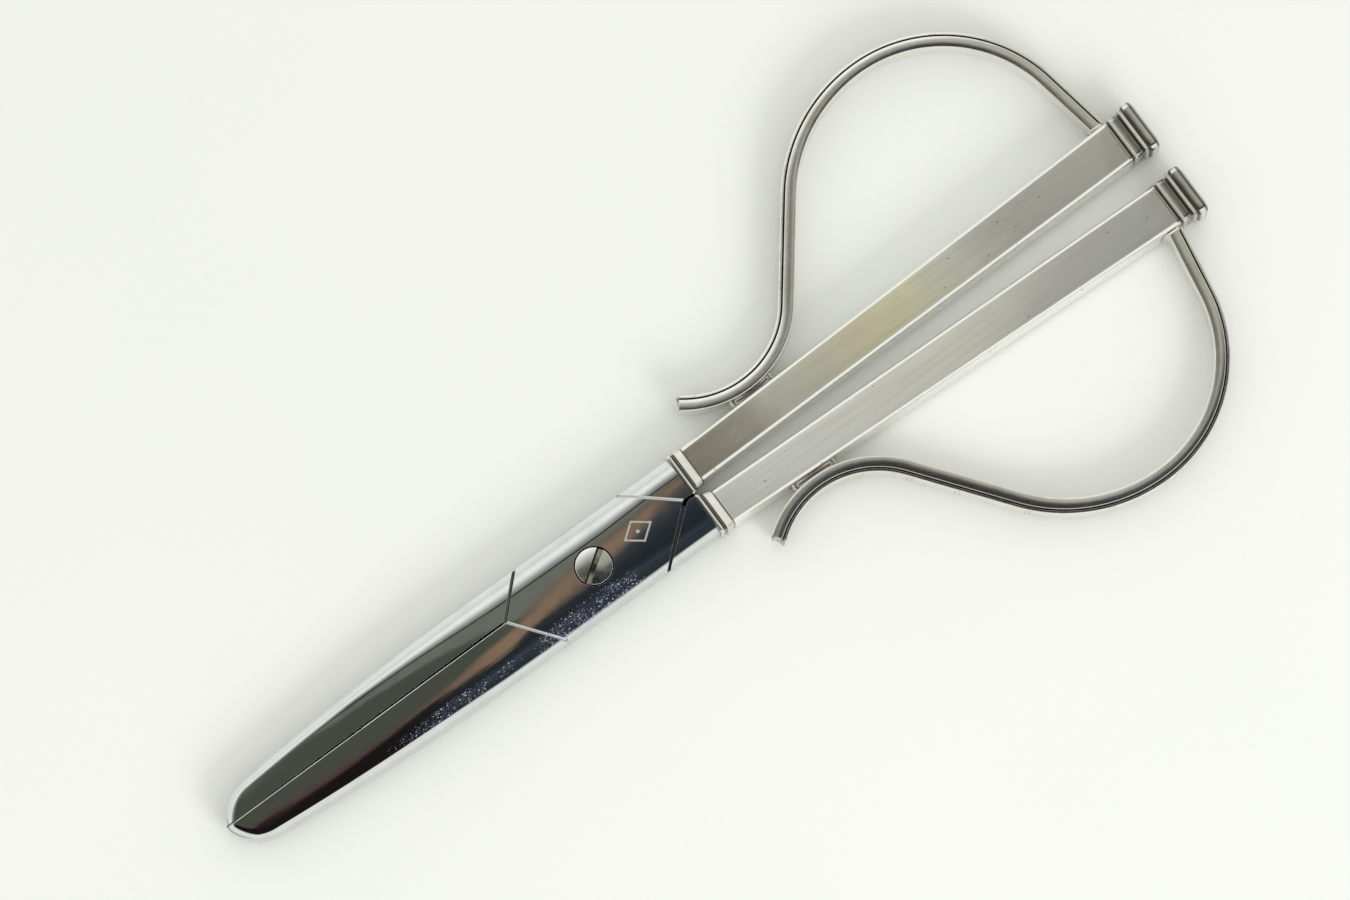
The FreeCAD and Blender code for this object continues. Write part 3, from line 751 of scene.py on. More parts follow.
def bow_section(crown, lean):
    """(offset, height) loop across the bow, for a share of the crown and a lean in degrees."""
    half = BOW_WEB / 2
    inner_roll, outer_roll = 0.20, 0.12
    fall = math.tan(math.radians(lean)) * 0.999
    upper = []

    def top(offset):
        sag = BOW_CROWN_R - math.sqrt(BOW_CROWN_R ** 2 - offset ** 2)
        return BOW_HALF_HEIGHT - crown * sag - fall * (offset + half)

    for turn in np.linspace(0, math.pi / 2, 6)[:-1]:
        upper.append((-half + inner_roll * (1 - math.cos(turn)),
                      top(-half + inner_roll) - inner_roll * 1.3 * (1 - math.sin(turn))))
    for offset in np.linspace(-half + inner_roll, half - outer_roll, 11):
        upper.append((offset, top(offset)))
    for turn in np.linspace(0, math.pi / 2, 5)[1:]:
        upper.append((half - outer_roll * (1 - math.sin(turn)),
                      top(half - outer_roll) - outer_roll * (1 - math.cos(turn))))
    for share, drop in RIB_PROFILE:
        upper.append((half + 0.01 + BOW_RIB_PROUD * share, BOW_RIB_TOP - drop))
    return upper + [(offset, -height) for offset, height in upper[::-1]]


def finger_bow():
    """S-curved strip with its rib, from the free scroll end to the foot of the leg."""
    line, normal = bow_line()
    ahead = (line[1] - line[0]) / np.linalg.norm(line[1] - line[0])
    places, crowns, leans = zip(*BOW_TOPS)
    loops = []
    # the free end is dressed to a slanting, hammered facet
    section = bow_section(crowns[0], leans[0])
    for shrink, step, slant in ((0.80, -0.05, 0.95), (0.93, 0.02, 0.9), (1.0, 0.12, 0.72)):
        loop = []
        for index, (o, h) in enumerate(section):
            lump = 0.05 * math.sin(index * 2.3)
            back = step + slant * abs(h / BOW_HALF_HEIGHT) ** 1.6 + lump * (1 - step)
            p = line[0] + ahead * back + normal[0] * o * shrink
            loop.append((p[0], p[1], MID_Z + h * shrink))
        loops.append(loop)
    for p, n in zip(line[4:], normal[4:]):
        section = bow_section(float(np.interp(p[0], places, crowns)), float(np.interp(p[0], places, leans)))
        loops.append([(p[0] + n[0] * o, p[1] + n[1] * o, MID_Z + h) for o, h in section])
    return loft("bow", loops)


def bow_grooves():
    """Distances round the bow's section of the grooves beside the rib."""
    section = np.array(bow_section(1.0, 0.0))
    around = np.concatenate([[0], np.cumsum(np.linalg.norm(np.diff(section, axis=0), axis=1))])
    first = len(section) // 2 - len(RIB_PROFILE)
    return around[first], around[len(section) - 1 - first]


def bow_foot():
    """Solder seat with a raised post at each end, its top hollowed between its edges."""
    x0, x1 = foot_low[0], foot_high[0]
    loops = []
    for x in np.linspace(x0, x1, 44):
        cy, hy, hz = handle_box(x)
        side = cy + hy
        low_r = 15.0 if x > BOW_LOW[0] else BOW_SCROLL_R
        bow = BOW_LOW[1] + low_r - math.sqrt(low_r ** 2 - (x - BOW_LOW[0]) ** 2) - BOW_WEB / 2
        edge = min(x - x0, x1 - x)
        post = math.exp(-((edge - 0.35) / 0.3) ** 2)
        half = 1.05 + 0.6 * post
        if edge < 0.02:
            half *= 0.8
        lump = 0.03 * math.sin(x * 2.1) + 0.015 * math.sin(x * 5.3)
        dip = 0.8
        ys = np.linspace(side - 0.04, bow + 0.06, 7)
        profile = []
        for t, y in zip(np.linspace(0, 1, 7), ys):
            h = (half + lump) * (1 - (1 - dip) * math.sin(math.pi * t))
            profile.append((y, h))
        loops.append([(x, y, MID_Z + h) for y, h in profile]
                     + [(x, y, MID_Z - h) for y, h in profile[::-1]])
    return loft("foot", loops)


def bow_fillet():
    """Flared solder round the end of the bow's leg."""
    line, normal = bow_line()
    end = line[-1]
    back = line[-2] - line[-1]
    back /= np.linalg.norm(back)
    loops = []
    for rise, flare in ((-0.1, 0.98), (0.15, 0.93), (0.3, 0.62), (0.5, 0.36), (0.75, 0.19),
                        (1.05, 0.08), (1.4, 0.02), (1.6, -0.03)):
        p = end + back * (rise + 0.1)
        loop = []
        for angle in np.linspace(0, 2 * math.pi, 40, endpoint=False):
            c, s = math.cos(angle), math.sin(angle)
            ex = math.copysign(abs(c) ** 0.5, c)
            ez = math.copysign(abs(s) ** 0.5, s)
            lump = 1 + 0.05 * math.sin(3 * angle + rise * 2)
            half_x = (BOW_WEB / 2 + flare * lump)
            if c > 0:
                half_x = BOW_WEB / 2 + BOW_RIB_PROUD * 0.2 + min(0.42, flare * lump)
            loop.append((p[0] + ex * half_x, p[1], MID_Z + ez * (BOW_HALF_HEIGHT * 0.93 + flare * 0.35)))
        loops.append(loop)
    return loft("fillet", loops)


# ---- screw ---------------------------------------------------------------------
def pivot_screw():
    """Crowned slotted head with a rounded rim, and the pivot shank."""
    rim_z = MID_Z + LAND[0]
    head_r = screw_high[0] - SCREW_RIM_GAP
    crown_z = screw_high[2]
    crown = crown_z - rim_z
    sphere_r = (head_r ** 2 + crown ** 2) / (2 * crown)
    edge = 0.07
    rows = []
    for r in np.linspace(0.0, head_r - edge, 16)[1:]:
        rows.append((r, crown_z - sphere_r + math.sqrt(sphere_r ** 2 - r ** 2)))
    top = rows[-1][1]
    for angle in np.linspace(0, math.pi / 2, 6)[1:]:
        rows.append((head_r - edge + edge * math.sin(angle), top - edge + edge * math.cos(angle)))
    under = rim_z - HEAD_DEPTH
    chamfer = 0.12
    rows += [(head_r, under), (SCREW_SHANK_R, under), (SCREW_SHANK_R, screw_low[2] + chamfer),
             (SCREW_SHANK_R - chamfer, screw_low[2])]
    screw = loft("screw", [circle(r, z) for r, z in rows])
    reference = smooth_tree(screw)
    half, across, turn = 9, SLOT_HALF_WIDTH, SLOT_TURN
    plan = [(x * math.cos(turn) - y * math.sin(turn), x * math.sin(turn) + y * math.cos(turn))
            for x, y in [(-half, -across), (half, -across), (half, across), (-half, across)]]
    boolean(screw, prism(plan, crown_z - SLOT_DEPTH, crown_z - SLOT_DEPTH + 5))
    return screw, reference


# ---- materials -----------------------------------------------------------------
class Nodes:
    """Adds and links shader nodes in one tree."""

    def __init__(self, tree):
        self.tree = tree

    def add(self, kind, **values):
        node = self.tree.nodes.new(kind)
        for key, value in values.items():
            if key in node.inputs.keys():
                self.put(node.inputs[key], value)
            else:
                setattr(node, key, value)
        return node

    def put(self, socket, value):
        if isinstance(value, bpy.types.NodeSocket):
            self.tree.links.new(value, socket)
        else:
            socket.default_value = value

    def math(self, operation, a, b=0.0, clamp=False):
        node = self.add("ShaderNodeMath", operation=operation, use_clamp=clamp)
        self.put(node.inputs[0], a)
        self.put(node.inputs[1], b)
        return node.outputs[0]

    def joined(self, operation, terms):
        return functools.reduce(lambda a, b: self.math(operation, a, b), terms)

    def total(self, *terms):
        return self.joined("ADD", terms)

    def product(self, *terms):
        return self.joined("MULTIPLY", terms)

    def highest(self, *terms):
        return self.joined("MAXIMUM", terms)

    def step(self, value, low, high, out_low=0.0, out_high=1.0):
        """Smooth step of value between low and high."""
        node = self.add("ShaderNodeMapRange", interpolation_type="SMOOTHSTEP")
        self.put(node.inputs["Value"], value)
        for key, amount in (("From Min", low), ("From Max", high),
                            ("To Min", out_low), ("To Max", out_high)):
            self.put(node.inputs[key], amount)
        return node.outputs["Result"]

    def bump_at(self, value, centre, spread):
        """One at centre, falling to nothing a spread away."""
        away = self.math("ABSOLUTE", self.math("SUBTRACT", value, centre))
        return self.step(away, 0.0, spread, 1.0, 0.0)

    def blob(self, x, y, centre, spread):
        """Soft oval spot in a plane."""
        return self.product(self.bump_at(x, centre[0], spread[0]), self.bump_at(y, centre[1], spread[1]))

    def mix(self, factor, a, b):
        node = self.add("ShaderNodeMix", data_type="RGBA")
        self.put(node.inputs["Factor"], factor)
        self.put(node.inputs[6], a)
        self.put(node.inputs[7], b)
        return node.outputs[2]

    def curve(self, value, low, high, stops):
        """Colour or value looked up along stops [(place, value), ...]."""
        share = self.math("DIVIDE", self.math("SUBTRACT", value, low), high - low, clamp=True)
        node = self.add("ShaderNodeValToRGB", Fac=share)
        elements = node.color_ramp.elements
        while len(elements) < len(stops):
            elements.new(0.5)
        for element, (place, shade) in zip(elements, stops):
            element.position = (place - low) / (high - low)
            element.color = (*shade, 1.0) if isinstance(shade, tuple) else (shade, shade, shade, 1.0)
        return node.outputs["Color"]

    def noise(self, vector, scale=1.0, detail=2.0, roughness=0.5):
        return self.add("ShaderNodeTexNoise", Vector=vector, Scale=scale, Detail=detail,
                        Roughness=roughness).outputs["Fac"]

    def parts(self, vector):
        return self.add("ShaderNodeSeparateXYZ", Vector=vector).outputs

    def cells(self, vector):
        """Distance to the nearest of some scattered spots."""
        return self.add("ShaderNodeTexVoronoi", Vector=vector, Scale=1.0).outputs["Distance"]


class Surface(Nodes):
    """A material with one principled shader."""

    def __init__(self, name):
        self.material = bpy.data.materials.new(name)
        self.material.use_nodes = True
        super().__init__(self.material.node_tree)
        self.shader = self.tree.nodes["Principled BSDF"]

    def set(self, **values):
        for key, value in values.items():
            self.put(self.shader.inputs[key.replace("_", " ")], value)

    def coords(self, scale=(1, 1, 1)):
        """Object coordinates in millimetres, stretched by scale."""
        place = self.add("ShaderNodeTexCoord")
        size = tuple(v / MM for v in scale)
        return self.add("ShaderNodeMapping", Vector=place.outputs["Object"], Scale=size).outputs[0]

    def split(self):
        """Object x, y and z in millimetres."""
        return self.parts(self.coords())

    def streaks(self, scale):
        """Streak coordinates of a lofted piece, stretched by scale."""
        place = self.add("ShaderNodeUVMap", uv_map="streak")
        return self.add("ShaderNodeMapping", Vector=place.outputs[0], Scale=scale).outputs[0]

    def face_value(self, name):
        """A value that the mesh holds for each face."""
        return self.add("ShaderNodeAttribute", attribute_name=name).outputs["Fac"]

    def recess(self, distance, low=0.35, high=0.95):
        """Nothing in the open, one deep in a gap or groove; an ambient occlusion mask that the materials
        use for painted shade.
        """
        node = self.add("ShaderNodeAmbientOcclusion", samples=4, Distance=distance * MM)
        return self.step(node.outputs["AO"], low, high, 1.0, 0.0)

    def edge(self, radius):
        """Normal with the sharp edges eased."""
        return self.add("ShaderNodeBevel", samples=4, Radius=radius * MM).outputs[0]

    def bump(self, height, strength, distance, normal=None):
        node = self.add("ShaderNodeBump", Height=height, Strength=strength, Distance=distance * MM)
        if normal is not None:
            self.put(node.inputs["Normal"], normal)
        return node.outputs[0]


def rgb(red, green, blue):
    return (red, green, blue, 1.0)


def steel_material():
    """Bright plated steel with fine wiping marks, rubs round the lap, and painted shade near-black in its
    joints and recesses.
    """
    n = Surface("polished_steel")
    where = n.coords()
    # painted shade: the upright walls of the lap are black only while the joint is nearly shut
    wall = n.product(n.face_value("joint_wall"), n.recess(2.5, 0.3, 0.6))
    frosted = n.face_value("frosted")
    x, y, z = n.split()
    lengthways = n.noise(n.coords((0.06, 5.0, 5.0)), 1.0, 3.0)
    across = n.noise(n.coords((3.5, 0.14, 3.5)), 1.0, 2.0)
    haze = n.noise(where, 0.25, 4.0, 0.6)
    rub = n.product(n.highest(n.blob(x, y, (-4.0, -5.0), (16.0, 2.6)),
                              n.product(n.blob(x, y, (-28.0, -4.7), (20.0, 1.6)), 0.8)),
                    n.step(z, MID_Z, MID_Z + 0.5))
    rub = n.step(rub, 0.02, 0.5)
    clumps = n.noise(n.coords((0.5, 1.1, 1.0)), 1.0, 3.0, 0.7)
    fine_size = n.product(n.step(clumps, 0.30, 0.56), rub, 0.38)
    flake_size = n.product(n.step(clumps, 0.40, 0.52), rub, 0.25)
    blue = n.step(n.math("SUBTRACT", fine_size, n.cells(n.coords((4.2, 6.4, 4.0)))), -0.02, 0.04)
    white = n.step(n.math("SUBTRACT", flake_size, n.cells(n.coords((1.9, 4.0, 3.0)))), -0.01, 0.02)
    rub = n.highest(n.product(blue, 0.6), white)
    specks = n.noise(where, 4.0, 2.0)
    rough = n.total(n.step(haze, 0.35, 0.75, 0.025, 0.05), n.step(lengthways, 0.62, 0.85, 0.0, 0.04),
                    n.step(across, 0.68, 0.85, 0.0, 0.04), n.product(rub, 0.55))
    tone = n.mix(n.step(haze, 0.3, 0.8), rgb(0.72, 0.73, 0.72), rgb(0.64, 0.65, 0.65))
    tone = n.mix(blue, tone, rgb(0.50, 0.52, 0.85))
    tone = n.mix(white, tone, rgb(0.97, 0.97, 0.98))
    tone = n.mix(frosted, tone, rgb(0.93, 0.93, 0.90))
    rough = n.total(rough, n.product(frosted, 0.5), n.product(wall, 0.3))
    # painted shade: near-black where ambient occlusion finds a recess, and on the lap's walls
    tone = n.mix(n.highest(n.recess(0.5), wall), tone, rgb(0.02, 0.019, 0.017))
    wave = n.bump(n.noise(n.coords((0.05, 0.25, 0.25)), 1.0, 1.0), 0.10, 0.15, n.edge(0.04))
    pits = n.bump(specks, n.product(rub, 0.6), 0.05, wave)
    n.set(Base_Color=tone, Metallic=1.0, Roughness=rough,
          Normal=n.bump(lengthways, 0.05, 0.01, pits))
    return n.material


def screw_material():
    """Steel of the screw: turned rings, and a slot rubbed by screwdrivers, darker inside and darker still
    near its walls and in its middle, with painted shade in its recesses.
    """
    n = Surface("screw_steel")
    x, y, z = n.split()
    radius = n.math("SQRT", n.total(n.product(x, x), n.product(y, y)))
    rings = n.noise(n.add("ShaderNodeCombineXYZ", X=radius, Y=n.product(z, 0.3)).outputs[0], 9.0, 2.0)
    haze = n.noise(n.coords(), 0.9, 3.0, 0.6)
    deep = n.step(z, screw_high[2] - 0.5, screw_high[2] - 0.3, 1.0, 0.0)
    across = n.total(n.product(y, math.cos(SLOT_TURN)), n.product(x, -math.sin(SLOT_TURN)))
    along = n.total(n.product(x, math.cos(SLOT_TURN)), n.product(y, math.sin(SLOT_TURN)))
    # darker near the slot's walls and in patches in its middle
    slot_darkening = n.highest(n.step(across, 0.12, 0.34), n.step(across, -0.30, -0.44))
    middle = n.product(n.step(n.math("ABSOLUTE", along), 1.9, 0.6), n.step(haze, 0.35, 0.55, 0.45, 0.95))
    slot_darkening = n.product(deep, n.highest(slot_darkening, middle))
    tone = n.mix(haze, rgb(0.86, 0.86, 0.83), rgb(0.76, 0.76, 0.73))
    tone = n.mix(deep, tone, rgb(0.62, 0.60, 0.47))
    # painted shade: near-black where ambient occlusion finds a recess, on top of the slot's darkening
    tone = n.mix(n.highest(slot_darkening, n.recess(0.35, 0.2, 0.8)), tone, rgb(0.04, 0.036, 0.026))
    rough = n.total(n.step(haze, 0.35, 0.7, 0.12, 0.24), n.product(deep, 0.25))
    n.set(Base_Color=tone, Metallic=1.0, Roughness=rough,
          Normal=n.bump(rings, 0.12, 0.02, n.edge(0.06)))
    return n.material


# Tone of the two handles along their length, tarnish and painted sheen together: (x, colour)
FRONT_TARNISH_AND_SHEEN = (
    (18.0, (0.35, 0.32, 0.255)), (24.0, (0.385, 0.35, 0.285)), (31.0, (0.50, 0.465, 0.39)),
    (38.0, (0.73, 0.705, 0.63)), (46.0, (0.82, 0.78, 0.63)), (52.0, (0.875, 0.81, 0.58)),
    (60.0, (0.92, 0.88, 0.65)), (68.0, (0.81, 0.80, 0.725)), (78.0, (0.63, 0.62, 0.58)),
    (97.0, (0.65, 0.64, 0.59)), (104.0, (0.50, 0.48, 0.42)),
)
REAR_TARNISH_AND_SHEEN = (
    (18.0, (0.83, 0.84, 0.79)), (28.0, (0.95, 0.955, 0.91)), (45.0, (0.985, 0.975, 0.92)),
    (60.0, (0.95, 0.94, 0.85)), (70.0, (0.86, 0.85, 0.785)), (79.0, (0.695, 0.69, 0.655)),
    (97.0, (0.635, 0.635, 0.60)), (104.0, (0.53, 0.51, 0.46)),
)


def satin_material():
    """Hand-worn silver of the handles: long fine brushing, faint tarnish with painted sheen along each
    handle, dents and scratches.
    """
    n = Surface("satin_silver")
    where = n.coords()
    x, y, z = n.split()
    brush = n.noise(n.coords((0.12, 6.0, 6.0)), 1.0, 4.0, 0.65)
    coarse = n.noise(n.coords((0.05, 1.6, 1.6)), 1.0, 2.0)
    patches = n.noise(where, 0.09, 3.0, 0.55)
    specks = n.noise(where, 1.7, 2.0)
    blur = n.total(x, n.product(n.math("SUBTRACT", patches, 0.5), 16.0))
    # painted sheen and tarnish: each handle's tone rises and falls along its length, the front one darker
    front = n.curve(blur, 18.0, 104.0, FRONT_TARNISH_AND_SHEEN)
    rear = n.curve(blur, 18.0, 104.0, REAR_TARNISH_AND_SHEEN)
    tone = n.mix(n.step(y, -0.5, 0.5), rear, front)
    tone = n.mix(n.step(coarse, 0.35, 0.75, 0.0, 0.22), tone, rgb(0.60, 0.55, 0.45))
    # the sides stay clean and the rolled edges are worn bright
    facing = n.add("ShaderNodeNewGeometry").outputs["Normal"]
    level = n.math("ABSOLUTE", n.parts(facing)["Z"])
    tone = n.mix(n.step(level, 0.995, 0.96), tone, rgb(0.95, 0.945, 0.91))
    rolled = n.product(n.step(level, 0.985, 0.93), n.step(level, 0.05, 0.3))
    # scattered pits, short slanting scratches, and a painted shadow line at the collar
    pitted = n.step(n.cells(n.coords((0.33, 0.5, 0.5))), 0.085, 0.05)
    slant = n.add("ShaderNodeCombineXYZ", X=n.total(n.product(x, 0.10), n.product(y, 0.05)),
                  Y=n.total(n.product(y, 1.4), n.product(x, -0.6))).outputs[0]
    scratched = n.product(n.step(n.cells(slant), 0.14, 0.08), n.step(patches, 0.5, 0.6))
    tone = n.mix(n.product(pitted, 0.55), tone, rgb(0.20, 0.18, 0.14))
    tone = n.mix(n.product(scratched, 0.5), tone, rgb(0.97, 0.96, 0.92))
    # painted shadow: a dark line on the shell where it meets the collar
    tone = n.mix(n.step(x, HANDLE_X[0] + 0.32, HANDLE_X[0] + 0.12), tone, rgb(0.15, 0.14, 0.11))
    # painted shade: darker where ambient occlusion finds a recess
    tone = n.mix(n.recess(0.8, 0.3, 0.9), tone, rgb(0.16, 0.15, 0.12))
    rough = n.total(n.step(brush, 0.25, 0.75, 0.48, 0.56), n.step(specks, 0.6, 0.8, 0.0, 0.06),
                    n.product(rolled, -0.24), n.product(scratched, -0.15))
    dents = n.noise(where, 0.45, 1.0)
    worn = n.step(x, 62.0, 85.0)
    normal = n.bump(n.step(dents, 0.62, 0.8), n.total(0.12, n.product(worn, 0.25)), 0.08, n.edge(0.05))
    normal = n.bump(n.highest(pitted, scratched), -0.4, 0.03, normal)
    n.set(Metallic=1.0)
    # light that leaves the floor for the satin comes back spread out
    spread = n.product(n.add("ShaderNodeLightPath").outputs["Is Diffuse Ray"], 0.9)
    n.set(Base_Color=tone, Metallic=n.math("SUBTRACT", 1.0, spread), Roughness=rough,
          Normal=n.bump(brush, 0.05, 0.01, normal))
    return n.material


def silver_material(name, rough_low, rough_high, tone_a, tone_b, streak_scale, recess_reach, bevel,
                    grooves=(), bands=()):
    """Polished silver, with painted shade where ambient occlusion finds a recess and along its grooves.

    grooves are distances round the section, bands are (x, half width, how dark) of painted shade along the
    handle.
    """
    n = Surface(name)
    where = n.coords()
    brush = n.noise(n.streaks(streak_scale), 1.0, 4.0, 0.6)
    patches = n.noise(where, 0.12, 3.0, 0.55)
    specks = n.noise(where, 2.2, 2.0)
    tone = n.mix(n.step(patches, 0.4, 0.7), tone_a, tone_b)
    # painted shade: darker in recesses, along the grooves and in the given bands
    dark = n.recess(recess_reach, 0.4, 0.93)
    around = n.parts(n.streaks((1, 1, 1)))["Y"]
    for groove in grooves:
        dark = n.highest(dark, n.bump_at(around, groove, 0.5))
    x = n.split()[0]
    for place, half, depth in bands:
        dark = n.highest(dark, n.product(n.bump_at(x, place, half), depth))
    tone = n.mix(dark, tone, rgb(0.06, 0.055, 0.04))
    rough = n.total(n.step(brush, 0.25, 0.75, rough_low, rough_high), n.step(specks, 0.6, 0.8, 0.0, 0.05))
    dents = n.bump(n.noise(where, 0.5, 1.0), 0.12, 0.1, n.edge(bevel))
    n.set(Base_Color=tone, Metallic=1.0, Roughness=rough, Normal=n.bump(brush, 0.08, 0.01, dents))
    return n.material


# Painted shade in the grooves of the collar and the cap, and across the cap's neck and end roll: (x, half
# width, how dark)
SHADE_BANDS = (
    (18.82, 0.22, 0.95), (HANDLE_X[1] + 0.50, 0.40, 1.0), (HANDLE_X[1] + 1.9, 0.9, 0.75),
    (HANDLE_X[1] + 2.38, 0.42, 1.0), (HANDLE_X[1] + 3.36, 0.46, 1.0), (cap_high[0] - 0.42, 0.4, 0.85),
)


def cement_material():
    n = Surface("setting_cement")
    grain = n.noise(n.coords(), 3.0, 5.0, 0.7)
    n.set(Base_Color=n.mix(grain, rgb(0.20, 0.14, 0.09), rgb(0.42, 0.32, 0.22)), Roughness=0.9,
          Normal=n.bump(grain, 0.5, 0.2))
    return n.material


steel = steel_material()
screw_steel = screw_material()
satin = satin_material()
bow_silver = silver_material("bow_silver", 0.16, 0.24, rgb(0.88, 0.87, 0.83), rgb(0.80, 0.78, 0.72),
                             (0.5, 9, 1), 0.5, 0.05, bow_grooves())
bright = silver_material("bright_silver", 0.12, 0.2, rgb(0.84, 0.83, 0.80), rgb(0.74, 0.72, 0.67),
                         (6, 0.8, 1), 0.5, 0.05, bands=SHADE_BANDS)
solder = silver_material("silver_solder", 0.16, 0.26, rgb(0.82, 0.80, 0.75), rgb(0.68, 0.65, 0.58),
                         (3, 3, 1), 0.7, 0.12)
cement = cement_material()

# ---- the pieces ----------------------------------------------------------------
blade, blade_reference = front_member_mesh()
rear_blade = flipped_copy(blade, "rear_blade_steel")
blade.name = "front_blade_steel"
rim = MID_Z + LAND[0]
boolean(blade, cylinder(screw_high[0] + SEAT_GAP, rim - SEAT_DEPTH, rim + 4))
boolean(blade, cylinder(SCREW_HOLE_R, -5, 10))
engrave_mark(blade)
boolean(rear_blade, cylinder(SCREW_HOLE_R, -5, 10))
shade_from(blade, blade_reference)
shade_from(rear_blade, blade_reference)
finished(blade, "front_member", "blade_steel", steel, "front_blade", smooth_angle=None)
finished(rear_blade, "rear_member", "blade_steel", steel, "rear_blade", smooth_angle=None)

screw, screw_reference = pivot_screw()
screw.name = "slotted_pivot_screw"
shade_from(screw, screw_reference, 20.0)
finished(screw, "screw", "screw_steel", screw_steel, "pivot_screw", smooth_angle=None)

pieces = [
    (shell_half, "handle_upper_shell", "handle_silver", satin),
    (collar, "handle_collar", "bright_silver", bright),
    (end_cap, "handle_end_cap", "bright_silver", bright),
    (finger_bow, "finger_bow", "bow_silver", bow_silver),
    (bow_foot, "bow_foot", "silver_solder", solder),
    (bow_fillet, "bow_fillets", "silver_solder", solder),
]
for build, node, slot, material in pieces:
    front = build()
    front.name = "front_" + node + "_silver"
    rear_node = node.replace("upper", "lower")
    rear = flipped_copy(front, "rear_" + rear_node + "_silver")
    if node == "handle_upper_shell":
        # the lower half is the upper one mirrored in the seam plane
        for member, source, side in (("front", front, "lower"), ("rear", rear, "upper")):
            mesh = source.data.copy()
            move_points(mesh, lambda co: co * (1, 1, -1) + (0, 0, 2 * MID_Z))
            mesh.flip_normals()
            mesh.update()
            other = "%s_handle_%s_shell" % (member, side)
            finished(linked(other + "_silver", mesh), member + "_member", slot, material, other)
    finished(front, "front_member", slot, material, "front_" + node)
    finished(rear, "rear_member", slot, material, "rear_" + rear_node)

for member in ("front", "rear"):
    core = frame["nodes"][member + "_tang_cement"]
    core.data.materials.clear()
    core.data.materials.append(cement)


# ---- camera --------------------------------------------------------------------
LENS = 260.0
SENSOR = 36.0
IMAGE_WIDTH = 197.5           # millimetres of the object's plane across the picture
TILT = math.radians(11.0)
TURN = math.radians(36.1)
TARGET = np.array([19.95, 7.3, 3.5])

image_up = np.array([math.sin(TURN), math.cos(TURN), 0.0])
image_right = np.array([math.cos(TURN), -math.sin(TURN), 0.0])
towards_camera = np.array([0.0, 0.0, math.cos(TILT)]) - image_up * math.sin(TILT)
eye = TARGET + towards_camera * IMAGE_WIDTH * LENS / SENSOR


def place_camera():
    data = bpy.data.cameras.new("camera")
    data.lens = LENS
    data.sensor_width = SENSOR
    data.clip_start = 0.01
    camera = linked("camera", data)
    camera.location = Vector(eye) * MM
    top = np.cross(towards_camera, image_right)
    camera.rotation_euler = Matrix((image_right, top, towards_camera)).transposed().to_euler()
    bpy.context.scene.camera = camera


# ---- surroundings --------------------------------------------------------------
def mirrored(x, y):
    """Lean of the surroundings the flat blade shows at a plan point: (along x, along y), degrees."""
    height = MID_Z + LAND[0]
    lean_x = math.degrees(math.atan((x - eye[0]) / (eye[2] - height)) - 2 * land_slope(x))
    lean_y = math.degrees(math.atan((y - eye[1]) / (eye[2] - height)) + 2 * CROWN * y)
    return lean_x, lean_y


# Edges of the zones mirrored in the flat of the blades: plan x, then y of each edge
ZONES = (
    # x, dark edge, top of the warm band, bottom of the light zone
    (-66, -2.0, -1.5, 2.4), (-60, -2.2, -1.7, 2.6), (-55, -2.6, -2.0, 3.0), (-50, -2.9, -2.3, 3.3),
    (-45, -3.0, -2.4, 3.3), (-40, -2.9, -2.5, 3.3), (-35, -2.8, -2.4, 2.9), (-30, -2.65, -2.2, 2.6),
    (-25, -2.9, -1.9, 2.0), (-20, -3.0, -1.0, 1.4), (-17, -2.8, -0.7, 0.8), (-12, -2.3, -0.2, -0.1),
    (-6, -1.8, 0.9, 0.9), (-3, -1.4, 1.3, 1.3), (0, -1.0, 1.7, 1.7), (4, -0.4, 2.1, 2.1),
    (8, 0.3, 2.4, 2.4), (12, 1.0, 2.5, 2.5), (18, 2.2, 3.0, 3.0),
)


